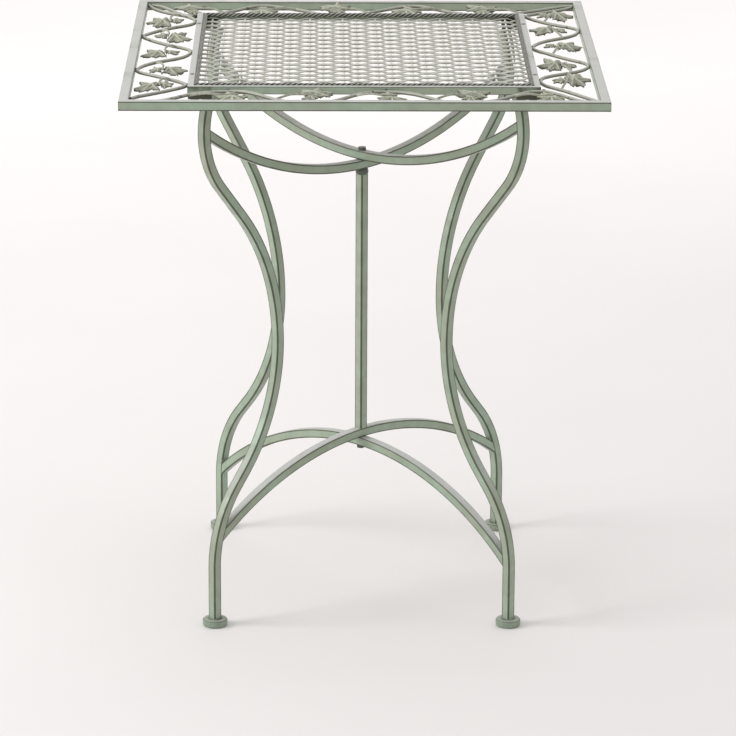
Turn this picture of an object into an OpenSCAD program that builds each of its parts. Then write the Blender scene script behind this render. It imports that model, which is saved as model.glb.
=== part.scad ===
// Square wrought-iron bistro table: an open border of vine scrolls round a woven steel panel,
// carried by four S-curved legs that are bent, arched and bolted in two crossing frames.
// Millimetres, +Z up, origin on the floor under the middle of the top, -Y is the front.

/* [Top frame] */
// Outer width and depth of the square top
top_w = 600; // [580:1:620]
// Height of the top's upper face above the floor
table_h = 720; // [716:1:724]
// Side of the square bar used for the rails, legs and crossbars
bar = 12; // [11:0.5:13]
// Outer width of the inner angle-section frame
inner_w = 437; // [434:1:440]
// Height of the inner frame's upright web
web_h = 10; // [9:0.5:11]
// Wall thickness of the inner frame's web and flange
angle_t = 3; // [2.5:0.1:3.2]
// Width of the inner frame's flat flange
flange_w = 8; // [7:0.5:9]
// Width across the twisted bar that edges the panel
rope_d = 5.5; // [5:0.1:6]

/* [Woven panel] */
// Spacing of the crossbands from front to back
band_pitch = 12.2; // [11.8:0.1:12.3]
// Width of a crossband
band_w = 8; // [7:0.5:9]
// Thickness of a crossband
band_t = 1.2; // [1:0.1:1.4]
// Number of crossbands each side of the middle one
band_half_count = 17; // [15:1:17]
// Spacing of the lengthwise rods from left to right
rod_pitch = 21.7; // [21:0.1:22]
// How far the middle rod's place is to the left of the middle
rod_shift = 5; // [0:0.1:6]
// How far every second rod is moved left and the ones between right, which pairs them
rod_pairing = 2.2; // [0:0.1:3]
// Width across a lengthwise rod
rod_d = 3.2; // [2.8:0.1:3.4]
// Number of rods each side of the middle one
rod_half_count = 9; // [7:1:9]

/* [Vine border] */
// Thickness of the vine wire
wire_d = 4.5; // [4:0.1:5]
// Distances from the corner at which the vine touches an inner and an outer rail in turn
vine_touches = [132, 231, 327, 426, 522];
// The same on the right side
right_touches = [138, 220, 330, 429, 522];
// The same on the left side
left_touches = [114, 207, 303, 404, 490];
// Length of the large vine leaves, from stem to tip
leaf_len = 33; // [28:1:34]
// Width of the large vine leaves
leaf_w = 42; // [34:1:44]
// Length and width of the small vine leaves
bud_len = 19; // [14:1:20]
// Thickness of the leaf metal
leaf_t = 1.5; // [1.2:0.1:2]

/* [Legs] */
// Distance of each foot from the middle, measured on the diagonal
foot_r = 268; // [262:1:272]
// Distance of the leg's narrowest point from the middle, on the diagonal
waist_r = 153.6; // [148:0.1:158]
// Height of the narrowest point
waist_z = 360; // [356:1:366]
// Greatest distance of the leg from the middle, near the top
shoulder_r = 281; // [277:1:284]
// Height of the shoulder
shoulder_z = 654.5; // [650:0.5:660]
// Diameter of the foot disc
foot_d = 32; // [28:1:36]
// Height of the foot disc
foot_h = 9.5; // [8:0.5:11]

/* [Crossbars] */
// Height of the lower of the two sagging crossbars at the middle
sag_z = 567.5; // [560:0.5:575]
// Bend radius of the sagging crossbars
sag_bend = 487; // [470:1:500]
// Height of the upper of the two arched stretchers at the middle
arch_z = 202; // [196:0.5:206]
// Bend radius of the upper stretcher
arch_bend = 448; // [440:1:460]
// Bend radius of the lower stretcher
under_bend = 390; // [384:1:396]

/* [Hidden] */
$fn = 48;

sage = [0.60, 0.66, 0.58];
pale_sage = [0.72, 0.76, 0.69];
leaf_grey = [0.70, 0.72, 0.65];
dark_iron = [0.33, 0.34, 0.28];

// Top frame, worked out from the sizes above
rail_bottom = table_h - bar;
border_w = (top_w - inner_w) / 2 - bar;
flange_edge = inner_w / 2 - flange_w;
web_face = inner_w / 2 - angle_t;
web_bottom = table_h - web_h;
rope_z = table_h - 0.75;

// Woven panel: the bands ride over one rod and under the next
weave_z = table_h - 6.5;
band_rise = (rod_d + band_t) / 2;
crest_w = 5;
rivet_y = 150;
rivet_x = (inner_w - flange_w) / 2;
rivet_d = 3;
rivet_bore = 3.4;
rivet_head_d = 5.5;
rivet_head_h = 1.2;

// Vine border, drawn along one side: x from the corner, y inwards from the top's edge
vine_out = bar + wire_d / 2;
vine_in = bar + border_w - wire_d / 2;
vine_start = bar;
vine_end = top_w - bar - wire_d - 0.5;
left_vine_end = 566;
vine_steps = 10;
weld_w = 6;
wire_z = table_h - bar / 2;
leaf_pocket = 35;
leaf_shift = 6;
stem_w = 2.4;

// Joint of the legs to the top
lug_w = 30;
lug_t = 3;
plate_t = 3.5;
lug_edge = inner_w / 2 - 0.5;
bolt_place = lug_edge - 8.5;
leg_top = web_bottom - lug_t - plate_t;
bolt_d = 6;
bolt_bore = 6.4;
bolt_head_af = 10;
bolt_head_h = 4;

// Leg line in the diagonal plane: x is the distance from the middle, y the height
foot_bend = 156;
foot_straight = 77.5;
low_bend = 248;
high_bend = 278;
shoulder_bend = 113;
foot_c = [foot_r - foot_bend, foot_straight];
low_c = [waist_r + low_bend, waist_z];
high_c = [waist_r + high_bend, waist_z];
shoulder_c = [shoulder_r - shoulder_bend, shoulder_z];
low_turn = tangent_angle(low_c, low_bend, foot_c, foot_bend, -1);
high_turn = tangent_angle(high_c, high_bend, shoulder_c, shoulder_bend, 1);
shoulder_end = 32;
leg_line = concat(
    [[foot_r, foot_h - 1]],
    arc(foot_c, foot_bend, 0, low_turn - 180, 12),
    arc(low_c, low_bend, low_turn, 180, 14),
    tail(arc(high_c, high_bend, 180, high_turn, 10)),
    arc(shoulder_c, shoulder_bend, high_turn - 180, shoulder_end, 12)
);

// Middle of the base, where the two frames cross
bar_gap = 0.1;
upper_sag_z = sag_z + bar + bar_gap;
lower_arch_z = arch_z - bar - bar_gap;
sag_steps = 45;
bar_reach = 38;
arch_reach = 44;
collar_d = 17;
collar_h = 8;
post_top = sag_z - bar / 2 - collar_h;
post_bottom = arch_z + bar / 2;
thread_depth = 24;
foot_chamfer = 2.5;

// Points of an arc about c, with n equal steps from angle a0 to a1
function arc(c, r, a0, a1, n) =
    [for (i = [0:n]) let (a = a0 + (a1 - a0) * i / n) [c.x + r * cos(a), c.y + r * sin(a)]];

// A list without its first point
function tail(p) = [for (i = [1:len(p) - 1]) p[i]];

// A list of points from last to first
function reversed(p) = [for (i = [len(p) - 1:-1:0]) p[i]];

// Direction in which two circles that bend opposite ways share a tangent
function tangent_angle(c1, r1, c2, r2, side) =
    (atan2(c2.y - c1.y, c2.x - c1.x) + side * acos((r1 + r2) / norm(c2 - c1)) + 360) % 360;

// Unit normal of a line of points at point i
function side_dir(p, i) =
    let (d = p[min(i + 1, len(p) - 1)] - p[max(i - 1, 0)])
    [-d.y, d.x] / norm(d);

// Outline of a strip of width w that follows a line of points
function strip(p, w) = concat(
    [for (i = [0:len(p) - 1]) p[i] + side_dir(p, i) * w / 2],
    reversed([for (i = [0:len(p) - 1]) p[i] - side_dir(p, i) * w / 2])
);

// Place of lengthwise rod i
function rod_x(i) = i * rod_pitch - rod_shift - (i % 2 == 0 ? rod_pairing : -rod_pairing);

// Where the vine of side k touches the rails, and where it ends
function touches_on(k) = [vine_touches, right_touches, vine_touches, left_touches][k];
function end_on(k) = k == 3 ? left_vine_end : vine_end;

// Line of the vine of side k: half waves between the touches, lying along the rails at both ends
function vine_line(k) =
    let (
        s = concat([vine_start], touches_on(k), [end_on(k)]),
        y = [for (i = [0:len(s) - 1]) i % 2 == 0 ? vine_out : vine_in]
    )
    concat(
        [[s[0], y[0]]],
        [for (i = [0:len(s) - 2], n = [1:vine_steps])
            let (f = n / vine_steps, e = (1 - cos(180 * f)) / 2)
            [s[i] + (s[i + 1] - s[i]) * f, y[i] + (y[i + 1] - y[i]) * e]]
    );

// Five-lobed leaf outline, pointing along +x with its base at the origin. The half next to the
// base is longer, so that the base and the two rear lobes meet the stem.
function leaf_outline(length, width) =
    [for (a = [0:12:348])
        let (r = 0.5 * (0.86 + 0.14 * cos(5 * a)), rear = cos(a) < 0 ? 1.4 : 1)
        [length * (0.5 + rear * r * cos(a)), width * r * sin(a) * 1.1]];

// Turn a piece drawn on the front side on to side k, counted round from the front
module on_side(k) {
    rotate([0, 0, 90 * k]) children();
}

// Stand a flat outline up in the diagonal plane at the given angle from +x
module in_diagonal(angle) {
    rotate([0, 0, angle]) rotate([90, 0, 0]) linear_extrude(bar, center = true) children();
}

// Hexagon across flats af
module hexagon(af) {
    circle(d = af / cos(30), $fn = 6);
}

module mitred_strip(outer, inner, h) {
    linear_extrude(h)
        polygon([[-outer, -outer], [outer, -outer], [inner, -inner], [-inner, -inner]]);
}

module outer_rail(k) {
    color(sage)
        on_side(k)
            translate([0, 0, rail_bottom])
                mitred_strip(top_w / 2, top_w / 2 - bar, bar);
}

// Upright web with a flat flange turned in at the top; the side rails are drilled for rivets
module inner_rail(k, riveted) {
    color(sage)
        on_side(k)
            difference() {
                union() {
                    translate([0, 0, web_bottom]) mitred_strip(inner_w / 2, web_face, web_h);
                    translate([0, 0, table_h - angle_t]) mitred_strip(inner_w / 2, flange_edge, angle_t);
                }
                if (riveted)
                    for (side = [-1, 1])
                        translate([side * rivet_y, -rivet_x, table_h - angle_t - 1])
                            cylinder(d = rivet_bore, h = angle_t + 2);
            }
}

// Twelve-sided bar with flats against the flange, the plain core of the twisted edging
module rope_bar(k, half_length) {
    color(pale_sage)
        on_side(k)
            translate([-half_length, -flange_edge + rope_d / 2, rope_z])
                rotate([0, 90, 0])
                    rotate([0, 0, 15])
                        cylinder(d = rope_d / cos(15), h = 2 * half_length, $fn = 12);
}

module weave_crossbands() {
    color(pale_sage)
        for (j = [-band_half_count:band_half_count])
            translate([0, j * band_pitch, weave_z]) crossband(j % 2 == 0 ? 1 : -1);
}

// One band that passes over every second rod, starting with the middle one when phase is 1
module crossband(phase) {
    wave = concat(
        [[-web_face, 0]],
        [for (i = [-rod_half_count:rod_half_count], e = [-1, 1])
            [rod_x(i) + e * crest_w / 2, phase * (i % 2 == 0 ? 1 : -1) * band_rise]],
        [[web_face, 0]]
    );
    rotate([90, 0, 0])
        linear_extrude(band_w, center = true)
            polygon(concat(
                [for (p = wave) p + [0, band_t / 2]],
                reversed([for (p = wave) p - [0, band_t / 2]])
            ));
}

module weave_rods() {
    color(pale_sage)
        for (i = [-rod_half_count:rod_half_count])
            translate([rod_x(i), web_face, weave_z])
                rotate([90, 0, 0])
                    rotate([0, 0, 15])
                        cylinder(d = rod_d / cos(15), h = 2 * web_face, $fn = 12);
}

module panel_rivets() {
    color(dark_iron)
        for (x = [-rivet_x, rivet_x], y = [-rivet_y, rivet_y])
            translate([x, y, table_h - angle_t - rivet_head_h]) {
                cylinder(d = rivet_head_d, h = rivet_head_h);
                cylinder(d = rivet_d, h = angle_t + rivet_head_h);
                translate([0, 0, angle_t + rivet_head_h]) cylinder(d = rivet_head_d, h = rivet_head_h);
            }
}

module vine_wire(k) {
    touches = concat(touches_on(k), [end_on(k) - weld_w / 2]);
    color(sage)
        on_side(k)
            translate([-top_w / 2, -top_w / 2, wire_z - wire_d / 2])
                union() {
                    linear_extrude(wire_d) polygon(strip(vine_line(k), wire_d));
                    for (i = [0:len(touches) - 1])
                        translate([touches[i] - weld_w / 2, i % 2 == 0 ? vine_in : bar, 0])
                            cube([weld_w, wire_d / 2, wire_d]);
                }
}

// Each cluster lies in the pocket of one bend: a large leaf, a small one and their stem
module vine_leaves(k) {
    color(leaf_grey)
        on_side(k)
            translate([-top_w / 2, -top_w / 2, wire_z + wire_d / 2])
                for (i = [0:len(touches_on(k)) - 1])
                    let (
                        pocket = i % 2 == 0 ? leaf_pocket : border_w - leaf_pocket,
                        touch = touches_on(k)[i],
                        span = touch - (i == 0 ? vine_start : touches_on(k)[i - 1])
                    )
                    translate([touch + leaf_shift, bar + pocket, 0])
                        mirror([0, i % 2, 0]) leaf_cluster(span);
}

// The stem leaves the wire two fifths of a wave before the bend; span is that wave's length.
// The large leaf points away from the bend and the small one towards it.
module leaf_cluster(span) {
    branch_y = vine_out + (vine_in - vine_out) * (1 - cos(108)) / 2 - bar - leaf_pocket;
    start = [-0.4 * span - leaf_shift, branch_y];
    stem = [start, [0.62 * start.x, 0.3 * start.y], [0.3 * start.x, -0.5], [4, -1]];
    union() {
        rotate([0, 0, -86]) linear_extrude(leaf_t) polygon(leaf_outline(leaf_len, leaf_w));
        rotate([0, 0, 112]) linear_extrude(leaf_t) polygon(leaf_outline(bud_len, bud_len));
        linear_extrude(leaf_t) polygon(strip(stem, stem_w));
    }
}

module leg_outline() {
    intersection() {
        polygon(strip(leg_line, bar));
        translate([0, foot_h]) square([top_w, leg_top - foot_h]);
    }
}

module leg(angle) {
    color(sage) in_diagonal(angle) leg_outline();
}

// Space between the two legs of one frame, in their own plane
module between_legs() {
    difference() {
        polygon(concat(leg_line, [for (p = reversed(leg_line)) [-p.x, p.y]]));
        leg_outline();
        mirror([1, 0]) leg_outline();
    }
}

// A bar bent to an arc, cut to meet two opposite legs and drilled at the middle
module frame_bar(angle, middle_z, bend, reach, sags) {
    up = sags ? 1 : -1;
    line = arc([0, middle_z + up * bend], bend, -up * 90 - reach, -up * 90 + reach, sag_steps);
    color(sage)
        difference() {
            in_diagonal(angle) intersection() {
                polygon(strip(line, bar));
                between_legs();
            }
            translate([0, 0, middle_z - bar]) cylinder(d = bolt_bore, h = 2 * bar);
        }
}

module foot(angle) {
    color(sage)
        rotate([0, 0, angle])
            translate([foot_r, 0, 0])
                rotate_extrude()
                    polygon([
                        [0, 0],
                        [foot_d / 2 - foot_chamfer, 0],
                        [foot_d / 2, foot_chamfer],
                        [foot_d / 2, foot_h - foot_chamfer],
                        [foot_d / 2 - foot_chamfer, foot_h],
                        [0, foot_h]
                    ]);
}

// Square plate under a corner of the inner frame, drilled for the leg bolt
module corner_plate(k, z, t) {
    color(sage)
        on_side(k)
            difference() {
                translate([-lug_edge, -lug_edge, z]) cube([lug_w, lug_w, t]);
                translate([-bolt_place, -bolt_place, z - 1]) cylinder(d = bolt_bore, h = t + 2);
            }
}

module corner_lug(k) {
    corner_plate(k, web_bottom - lug_t, lug_t);
}

module leg_plate(k) {
    corner_plate(k, leg_top, plate_t);
}

// Hexagon-headed bolt with its head's seat at the origin and its shank along +z
module bolt(length) {
    translate([0, 0, -bolt_head_h]) linear_extrude(bolt_head_h) hexagon(bolt_head_af);
    cylinder(d = bolt_d, h = length);
}

module top_bolts() {
    color(dark_iron)
        for (k = [0:3])
            on_side(k)
                translate([-bolt_place, -bolt_place, leg_top]) bolt(plate_t + lug_t);
}

// Upright square bar, turned so that its faces square up to the two frames
module centre_post() {
    color(sage)
        difference() {
            rotate([0, 0, 45])
                translate([-bar / 2, -bar / 2, post_bottom]) cube([bar, bar, post_top - post_bottom]);
            translate([0, 0, post_top - thread_depth]) cylinder(d = bolt_bore, h = thread_depth + 1);
            translate([0, 0, post_bottom - 1]) cylinder(d = bolt_bore, h = thread_depth + 1);
        }
}

module post_collar() {
    color(dark_iron)
        translate([0, 0, post_top])
            difference() {
                cylinder(d = collar_d, h = collar_h);
                translate([0, 0, -1]) cylinder(d = bolt_bore, h = collar_h + 2);
            }
}

module upper_pivot_bolt() {
    seat = upper_sag_z + bar / 2 + bar_gap;
    color(dark_iron) translate([0, 0, seat]) mirror([0, 0, 1]) bolt(seat - post_top + thread_depth - 4);
}

module lower_pivot_bolt() {
    seat = lower_arch_z - bar / 2 - bar_gap;
    color(dark_iron) translate([0, 0, seat]) bolt(post_bottom + thread_depth - 4 - seat);
}

outer_rail(0);  // outer_rail_front
outer_rail(1);  // outer_rail_right
outer_rail(2);  // outer_rail_back
outer_rail(3);  // outer_rail_left
inner_rail(0, false);  // inner_rail_front
inner_rail(1, true);  // inner_rail_right
inner_rail(2, false);  // inner_rail_back
inner_rail(3, true);  // inner_rail_left
rope_bar(0, flange_edge);  // rope_bar_front
rope_bar(1, flange_edge - rope_d);  // rope_bar_right
rope_bar(2, flange_edge);  // rope_bar_back
rope_bar(3, flange_edge - rope_d);  // rope_bar_left
weave_crossbands();
weave_rods();
panel_rivets();
vine_wire(0);  // vine_wire_front
vine_wire(1);  // vine_wire_right
vine_wire(2);  // vine_wire_back
vine_wire(3);  // vine_wire_left
vine_leaves(0);  // vine_leaves_front
vine_leaves(1);  // vine_leaves_right
vine_leaves(2);  // vine_leaves_back
vine_leaves(3);  // vine_leaves_left
leg(225);  // leg_front_left
leg(315);  // leg_front_right
leg(45);  // leg_back_right
leg(135);  // leg_back_left
foot(225);  // foot_front_left
foot(315);  // foot_front_right
foot(45);  // foot_back_right
foot(135);  // foot_back_left
leg_plate(0);  // leg_plate_front_left
leg_plate(1);  // leg_plate_front_right
leg_plate(2);  // leg_plate_back_right
leg_plate(3);  // leg_plate_back_left
corner_lug(0);  // corner_lug_front_left
corner_lug(1);  // corner_lug_front_right
corner_lug(2);  // corner_lug_back_right
corner_lug(3);  // corner_lug_back_left
top_bolts();
frame_bar(45, sag_z, sag_bend, bar_reach, true);  // crossbar_lower
frame_bar(135, upper_sag_z, sag_bend, bar_reach, true);  // crossbar_upper
frame_bar(45, arch_z, arch_bend, arch_reach, false);  // stretcher_upper
frame_bar(135, lower_arch_z, under_bend, arch_reach, false);  // stretcher_lower
centre_post();
post_collar();
upper_pivot_bolt();
lower_pivot_bolt();
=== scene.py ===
"""Garden bistro table in sage painted iron: a vine border round a woven steel panel, carried by four
S-curved square-bar legs that two sagging crossbars and two arched stretchers tie to a middle post."""

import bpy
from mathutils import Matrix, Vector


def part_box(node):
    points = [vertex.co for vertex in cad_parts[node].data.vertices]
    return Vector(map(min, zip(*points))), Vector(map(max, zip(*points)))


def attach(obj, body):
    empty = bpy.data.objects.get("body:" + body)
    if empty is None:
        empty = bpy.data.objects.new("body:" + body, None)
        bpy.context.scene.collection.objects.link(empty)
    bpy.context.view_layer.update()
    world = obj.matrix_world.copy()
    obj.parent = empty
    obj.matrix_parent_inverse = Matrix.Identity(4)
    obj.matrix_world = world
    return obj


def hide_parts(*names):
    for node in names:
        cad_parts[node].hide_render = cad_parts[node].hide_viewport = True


bl_info = {
    "name": "Iron Bistro Table",
    "version": (1, 0, 0),
    "blender": (4, 5, 0),
    "location": "3D View > Sidebar > Bistro Table",
    "description": "Builds the ironwork, woven panel, vine border and studio of a small garden table",
    "category": "Object",
}

import math
import random

import bmesh
import bpy
from bpy.props import FloatProperty, FloatVectorProperty, IntProperty, PointerProperty
from mathutils import Color, Matrix, Vector

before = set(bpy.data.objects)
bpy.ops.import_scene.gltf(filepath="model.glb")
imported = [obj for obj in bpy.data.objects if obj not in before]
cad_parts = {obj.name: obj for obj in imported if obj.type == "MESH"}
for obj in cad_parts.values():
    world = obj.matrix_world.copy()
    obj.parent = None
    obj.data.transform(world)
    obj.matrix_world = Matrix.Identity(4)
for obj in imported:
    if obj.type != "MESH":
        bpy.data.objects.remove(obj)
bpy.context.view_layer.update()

# Sizes that the frame gives
HALF_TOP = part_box("outer_rail_front")[1].x
TOP_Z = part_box("outer_rail_front")[1].z
BAR = TOP_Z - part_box("outer_rail_front")[0].z
PANEL_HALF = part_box("inner_rail_front")[1].x
WEB_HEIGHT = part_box("inner_rail_front")[1].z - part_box("inner_rail_front")[0].z
FLANGE_EDGE = -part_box("inner_rail_front")[1].y
ROPE_LOW, ROPE_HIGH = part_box("rope_bar_front")
BANDS_LOW, BANDS_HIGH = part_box("weave_crossbands")
RODS_LOW, RODS_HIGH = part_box("weave_rods")
WIRE_LOW, WIRE_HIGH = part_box("vine_wire_front")
LEAF_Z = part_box("vine_leaves_front")[0].z
LEG_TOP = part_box("leg_front_left")[1].z
FOOT_LOW, FOOT_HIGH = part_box("foot_back_right")
FOOT_REACH = math.hypot((FOOT_LOW.x + FOOT_HIGH.x) / 2, (FOOT_LOW.y + FOOT_HIGH.y) / 2)
POST_LOW, POST_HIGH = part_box("centre_post")

SIDES = ("front", "right", "back", "left")
CORNERS = {"front_left": 225, "front_right": 315, "back_right": 45, "back_left": 135}
MM = 0.001
SHARP_ANGLE = math.radians(38)


# ---------------------------------------------------------------- sizes and colours

def length(name, text, default):
    return FloatProperty(name=name, description=text, default=default, unit="LENGTH", subtype="DISTANCE")


def colour(name, text, default):
    return FloatVectorProperty(name=name, description=text, default=default, size=3,
                               subtype="COLOR_GAMMA", min=0, max=1)


class TopSizes(bpy.types.PropertyGroup):
    edge_round: length("Edge Round", "Rounding of the square bars' long edges", 1.3 * MM)
    web_thickness: length("Web Thickness", "Thickness of the angle section round the panel", 3 * MM)
    rope_side: length("Twisted Bar Side", "Side of the square bar before twisting", 4.3 * MM)
    rope_lead: length("Twisted Bar Lead", "Length of one full turn of the twisted bar", 27 * MM)
    rivet_place: length("Rivet Place", "Distance of each rivet from the panel's middle line", 150 * MM)


class WeaveSizes(bpy.types.PropertyGroup):
    band_pitch: length("Band Pitch", "Spacing of the crossbands from front to back", 12.2 * MM)
    band_width: length("Band Width", "Width of a crossband", 8 * MM)
    band_thickness: length("Band Thickness", "Thickness of a crossband", 1.2 * MM)
    rod_pitch: length("Rod Pitch", "Spacing of the rods from left to right", 21.7 * MM)
    rod_width: length("Rod Width", "Width across a rod", 2.4 * MM)
    rod_shift: length("Rod Shift", "How far the middle rod's place is to the left of the middle", 5 * MM)
    rod_pairing: length("Rod Pairing", "How far the rods are moved left and right in turn", 2.2 * MM)
    crest: FloatProperty(name="Crest Flatness", description="How flat a band runs over a rod",
                         default=0.9, min=0.1, max=5)
    looseness: length("Looseness", "How far hand weaving shifts a band", 0.35 * MM)


class VineSizes(bpy.types.PropertyGroup):
    wire: length("Wire Thickness", "Thickness of the vine wire", 4.5 * MM)
    leaf_length: length("Leaf Length", "Length of a large leaf", 33 * MM)
    leaf_width: length("Leaf Width", "Width of a large leaf", 42 * MM)
    bud_length: length("Small Leaf Length", "Length of a small leaf", 19 * MM)
    leaf_thickness: length("Leaf Thickness", "Thickness of the leaf metal", 1.1 * MM)
    stem: length("Stem Thickness", "Thickness of a leaf's stem", 2.8 * MM)
    seed: IntProperty(name="Seed", description="Seed of the leaves' small differences", default=7)


class LegSizes(bpy.types.PropertyGroup):
    waist_reach: length("Waist Reach", "Distance of the leg's waist from the middle", 153.6 * MM)
    waist_height: length("Waist Height", "Height of the leg's waist", 360 * MM)
    shoulder_reach: length("Shoulder Reach", "Greatest distance of the leg from the middle", 281 * MM)
    shoulder_height: length("Shoulder Height", "Height of the leg's shoulder", 654.5 * MM)
    foot_bend: length("Foot Bend", "Bend radius above the foot", 156 * MM)
    foot_straight: length("Foot Straight", "Height at which the foot's bend begins", 77.5 * MM)
    low_bend: length("Lower Bend", "Bend radius below the waist", 248 * MM)
    high_bend: length("Upper Bend", "Bend radius above the waist", 278 * MM)
    shoulder_bend: length("Shoulder Bend", "Bend radius of the shoulder", 113 * MM)


class TieSizes(bpy.types.PropertyGroup):
    sag_height: length("Sag Height", "Height of the lower sagging bar at the middle", 567.5 * MM)
    sag_bend: length("Sag Bend", "Bend radius of the sagging bars", 487 * MM)
    arch_height: length("Arch Height", "Height of the upper arched bar at the middle", 202 * MM)
    arch_bend: length("Arch Bend", "Bend radius of the upper arched bar", 448 * MM)
    under_bend: length("Under Bend", "Bend radius of the lower arched bar", 390 * MM)
    gap: length("Crossing Gap", "Gap between two bars that cross", 0.1 * MM)


class Finishes(bpy.types.PropertyGroup):
    sage: colour("Sage", "Main colour of the paint", (0.61, 0.68, 0.60))
    olive: colour("Olive", "Colour of the paint where it is rubbed thin", (0.60, 0.62, 0.54))
    patina: colour("Patina", "Dark wax left along the edges", (0.23, 0.23, 0.16))
    pale: colour("Pale Sage", "Colour of the woven panel", (0.78, 0.78, 0.74))
    # The rods' white is a lighter copy of the panel's pale paint, a painted highlight of the light from above
    rod: colour("Rod White with Painted Highlight", "Colour of the panel's rods", (0.92, 0.92, 0.9))
    leaf: colour("Leaf Grey", "Colour of the leaves", (0.63, 0.64, 0.58))
    cream: colour("Cream", "Light paint rubbed over the leaves' veins", (0.76, 0.77, 0.69))
    iron: colour("Dark Iron", "Colour of the bolts and rivets", (0.30, 0.31, 0.25))
    wire: colour("Wire Grey", "Colour of the vine wire", (0.63, 0.63, 0.58))
    # Shaded Sage is a darker copy of the sage that stands for shade; the weld paint uses it
    shade: colour("Shaded Sage", "Colour of the plates under the top", (0.36, 0.42, 0.34))


class StudioSettings(bpy.types.PropertyGroup):
    camera_place: FloatVectorProperty(name="Camera Place", description="Where the camera stands",
                                      default=(-0.0534, -5.0384, 1.8375), size=3, subtype="TRANSLATION")
    camera_turn: FloatProperty(name="Camera Turn", description="How far the camera looks to the right",
                               default=math.radians(0.7105), subtype="ANGLE")
    camera_tilt: FloatProperty(name="Camera Tilt", description="How far the camera looks down",
                               default=math.radians(17.077), subtype="ANGLE")
    camera_roll: FloatProperty(name="Camera Roll", description="How far the camera leans",
                               default=math.radians(0.28), subtype="ANGLE")
    lens: FloatProperty(name="Lens", description="Focal length of the camera in millimetres", default=195.5)
    floor_colour: colour("Floor", "Colour of the floor and backdrop", (0.93, 0.915, 0.91))
    sky: FloatProperty(name="Sky", description="Strength of the even light from all round", default=0.76)
    key: FloatProperty(name="Key Light", description="Power of the large light at the left", default=88,
                       subtype="POWER")
    top: FloatProperty(name="Top Light", description="Power of the light above the table", default=6,
                       subtype="POWER")
    wall: FloatProperty(name="Wall Light", description="Power of the light on the backdrop", default=36,
                        subtype="POWER")


# ---------------------------------------------------------------- small tools

def link(obj):
    bpy.context.scene.collection.objects.link(obj)
    return obj


class Nodes:
    """Adds nodes to a tree. An input that is a socket is linked, and any other value is set."""

    def __init__(self, tree):
        self.tree = tree

    def add(self, kind, inputs=None, **settings):
        made = self.tree.nodes.new(kind)
        for key, value in settings.items():
            setattr(made, key, value)
        for key, value in (inputs or {}).items():
            if isinstance(value, bpy.types.NodeSocket):
                self.tree.links.new(value, made.inputs[key])
            else:
                made.inputs[key].default_value = value
        return made

    def math(self, operation, a, b=0.0, c=0.0):
        return self.add("ShaderNodeMath", {0: a, 1: b, 2: c}, operation=operation).outputs[0]

    def times(self, a, b):
        return self.math("MULTIPLY", a, b)

    def vector(self, x=0.0, y=0.0, z=0.0):
        return self.add("ShaderNodeCombineXYZ", {0: x, 1: y, 2: z}).outputs[0]

    def mix(self, factor, a, b):
        return self.add("ShaderNodeMix", {0: factor, 6: a, 7: b}, data_type="RGBA").outputs[2]

    def noise(self, scale, detail, **others):
        return self.add("ShaderNodeTexNoise", {"Scale": scale, "Detail": detail, **others}).outputs["Fac"]

    def axes(self, vector):
        return self.add("ShaderNodeSeparateXYZ", {0: vector}).outputs

    def position(self):
        return self.axes(self.add("GeometryNodeInputPosition").outputs[0])

    def scaled(self, vector, amount):
        return self.add("ShaderNodeVectorMath", {0: vector, "Scale": amount}, operation="SCALE").outputs[0]

    def moved(self, geometry, offset):
        return self.add("GeometryNodeSetPosition", {"Geometry": geometry, "Offset": offset}).outputs[0]

    def pushed(self, geometry, amount):
        """Moves each point along its normal."""
        normal = self.add("GeometryNodeInputNormal").outputs[0]
        return self.moved(geometry, self.scaled(normal, amount))

    def swept(self, path, profile):
        inputs = {"Curve": path, "Profile Curve": profile, "Fill Caps": True}
        return self.add("GeometryNodeCurveToMesh", inputs).outputs[0]

    def circle(self, sides, diameter):
        inputs = {"Resolution": sides, "Radius": self.times(diameter, 0.5)}
        return self.add("GeometryNodeCurvePrimitiveCircle", inputs).outputs[0]

    def edge_mark(self, geometry, value):
        inputs = {"Geometry": geometry, "Name": "edge", "Value": value}
        made = self.add("GeometryNodeStoreNamedAttribute", inputs, data_type="FLOAT", domain="POINT")
        return made.outputs[0]

    def curve_of(self, mesh, step=None):
        """The curve along a chain of points, divided evenly if a step is given."""
        path = self.add("GeometryNodeMeshToCurve", {0: mesh}).outputs[0]
        if step is None:
            return path
        inputs = {"Curve": path, "Length": step}
        return self.add("GeometryNodeResampleCurve", inputs, mode="LENGTH").outputs[0]

    def centred_line(self, half, steps, axis):
        """An evenly divided line through the origin along x or y."""
        start = self.vector(**{axis: self.times(half, -1.0)})
        inputs = {"Start": start, "End": self.vector(**{axis: half})}
        line = self.add("GeometryNodeCurvePrimitiveLine", inputs).outputs[0]
        return self.add("GeometryNodeResampleCurve", {"Curve": line, "Count": steps}, mode="COUNT").outputs[0]

    def placed_in_turn(self, points, piece, axis):
        """A piece at each point; every second one is turned over about the axis."""
        parity = self.math("MODULO", self.add("GeometryNodeInputIndex").outputs[0], 2.0)
        over = self.vector(**{axis: self.times(self.math("SUBTRACT", 1.0, parity), math.pi)})
        rotation = self.add("FunctionNodeEulerToRotation", {0: over}).outputs[0]
        inputs = {"Points": points, "Instance": piece, "Rotation": rotation}
        return self.add("GeometryNodeInstanceOnPoints", inputs).outputs[0]

    def ramp(self, value, low, high, out_low=0.0, out_high=1.0):
        inputs = {"Value": value, "From Min": low, "From Max": high, "To Min": out_low, "To Max": out_high}
        return self.add("ShaderNodeMapRange", inputs, interpolation_type="SMOOTHSTEP").outputs[0]


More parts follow.
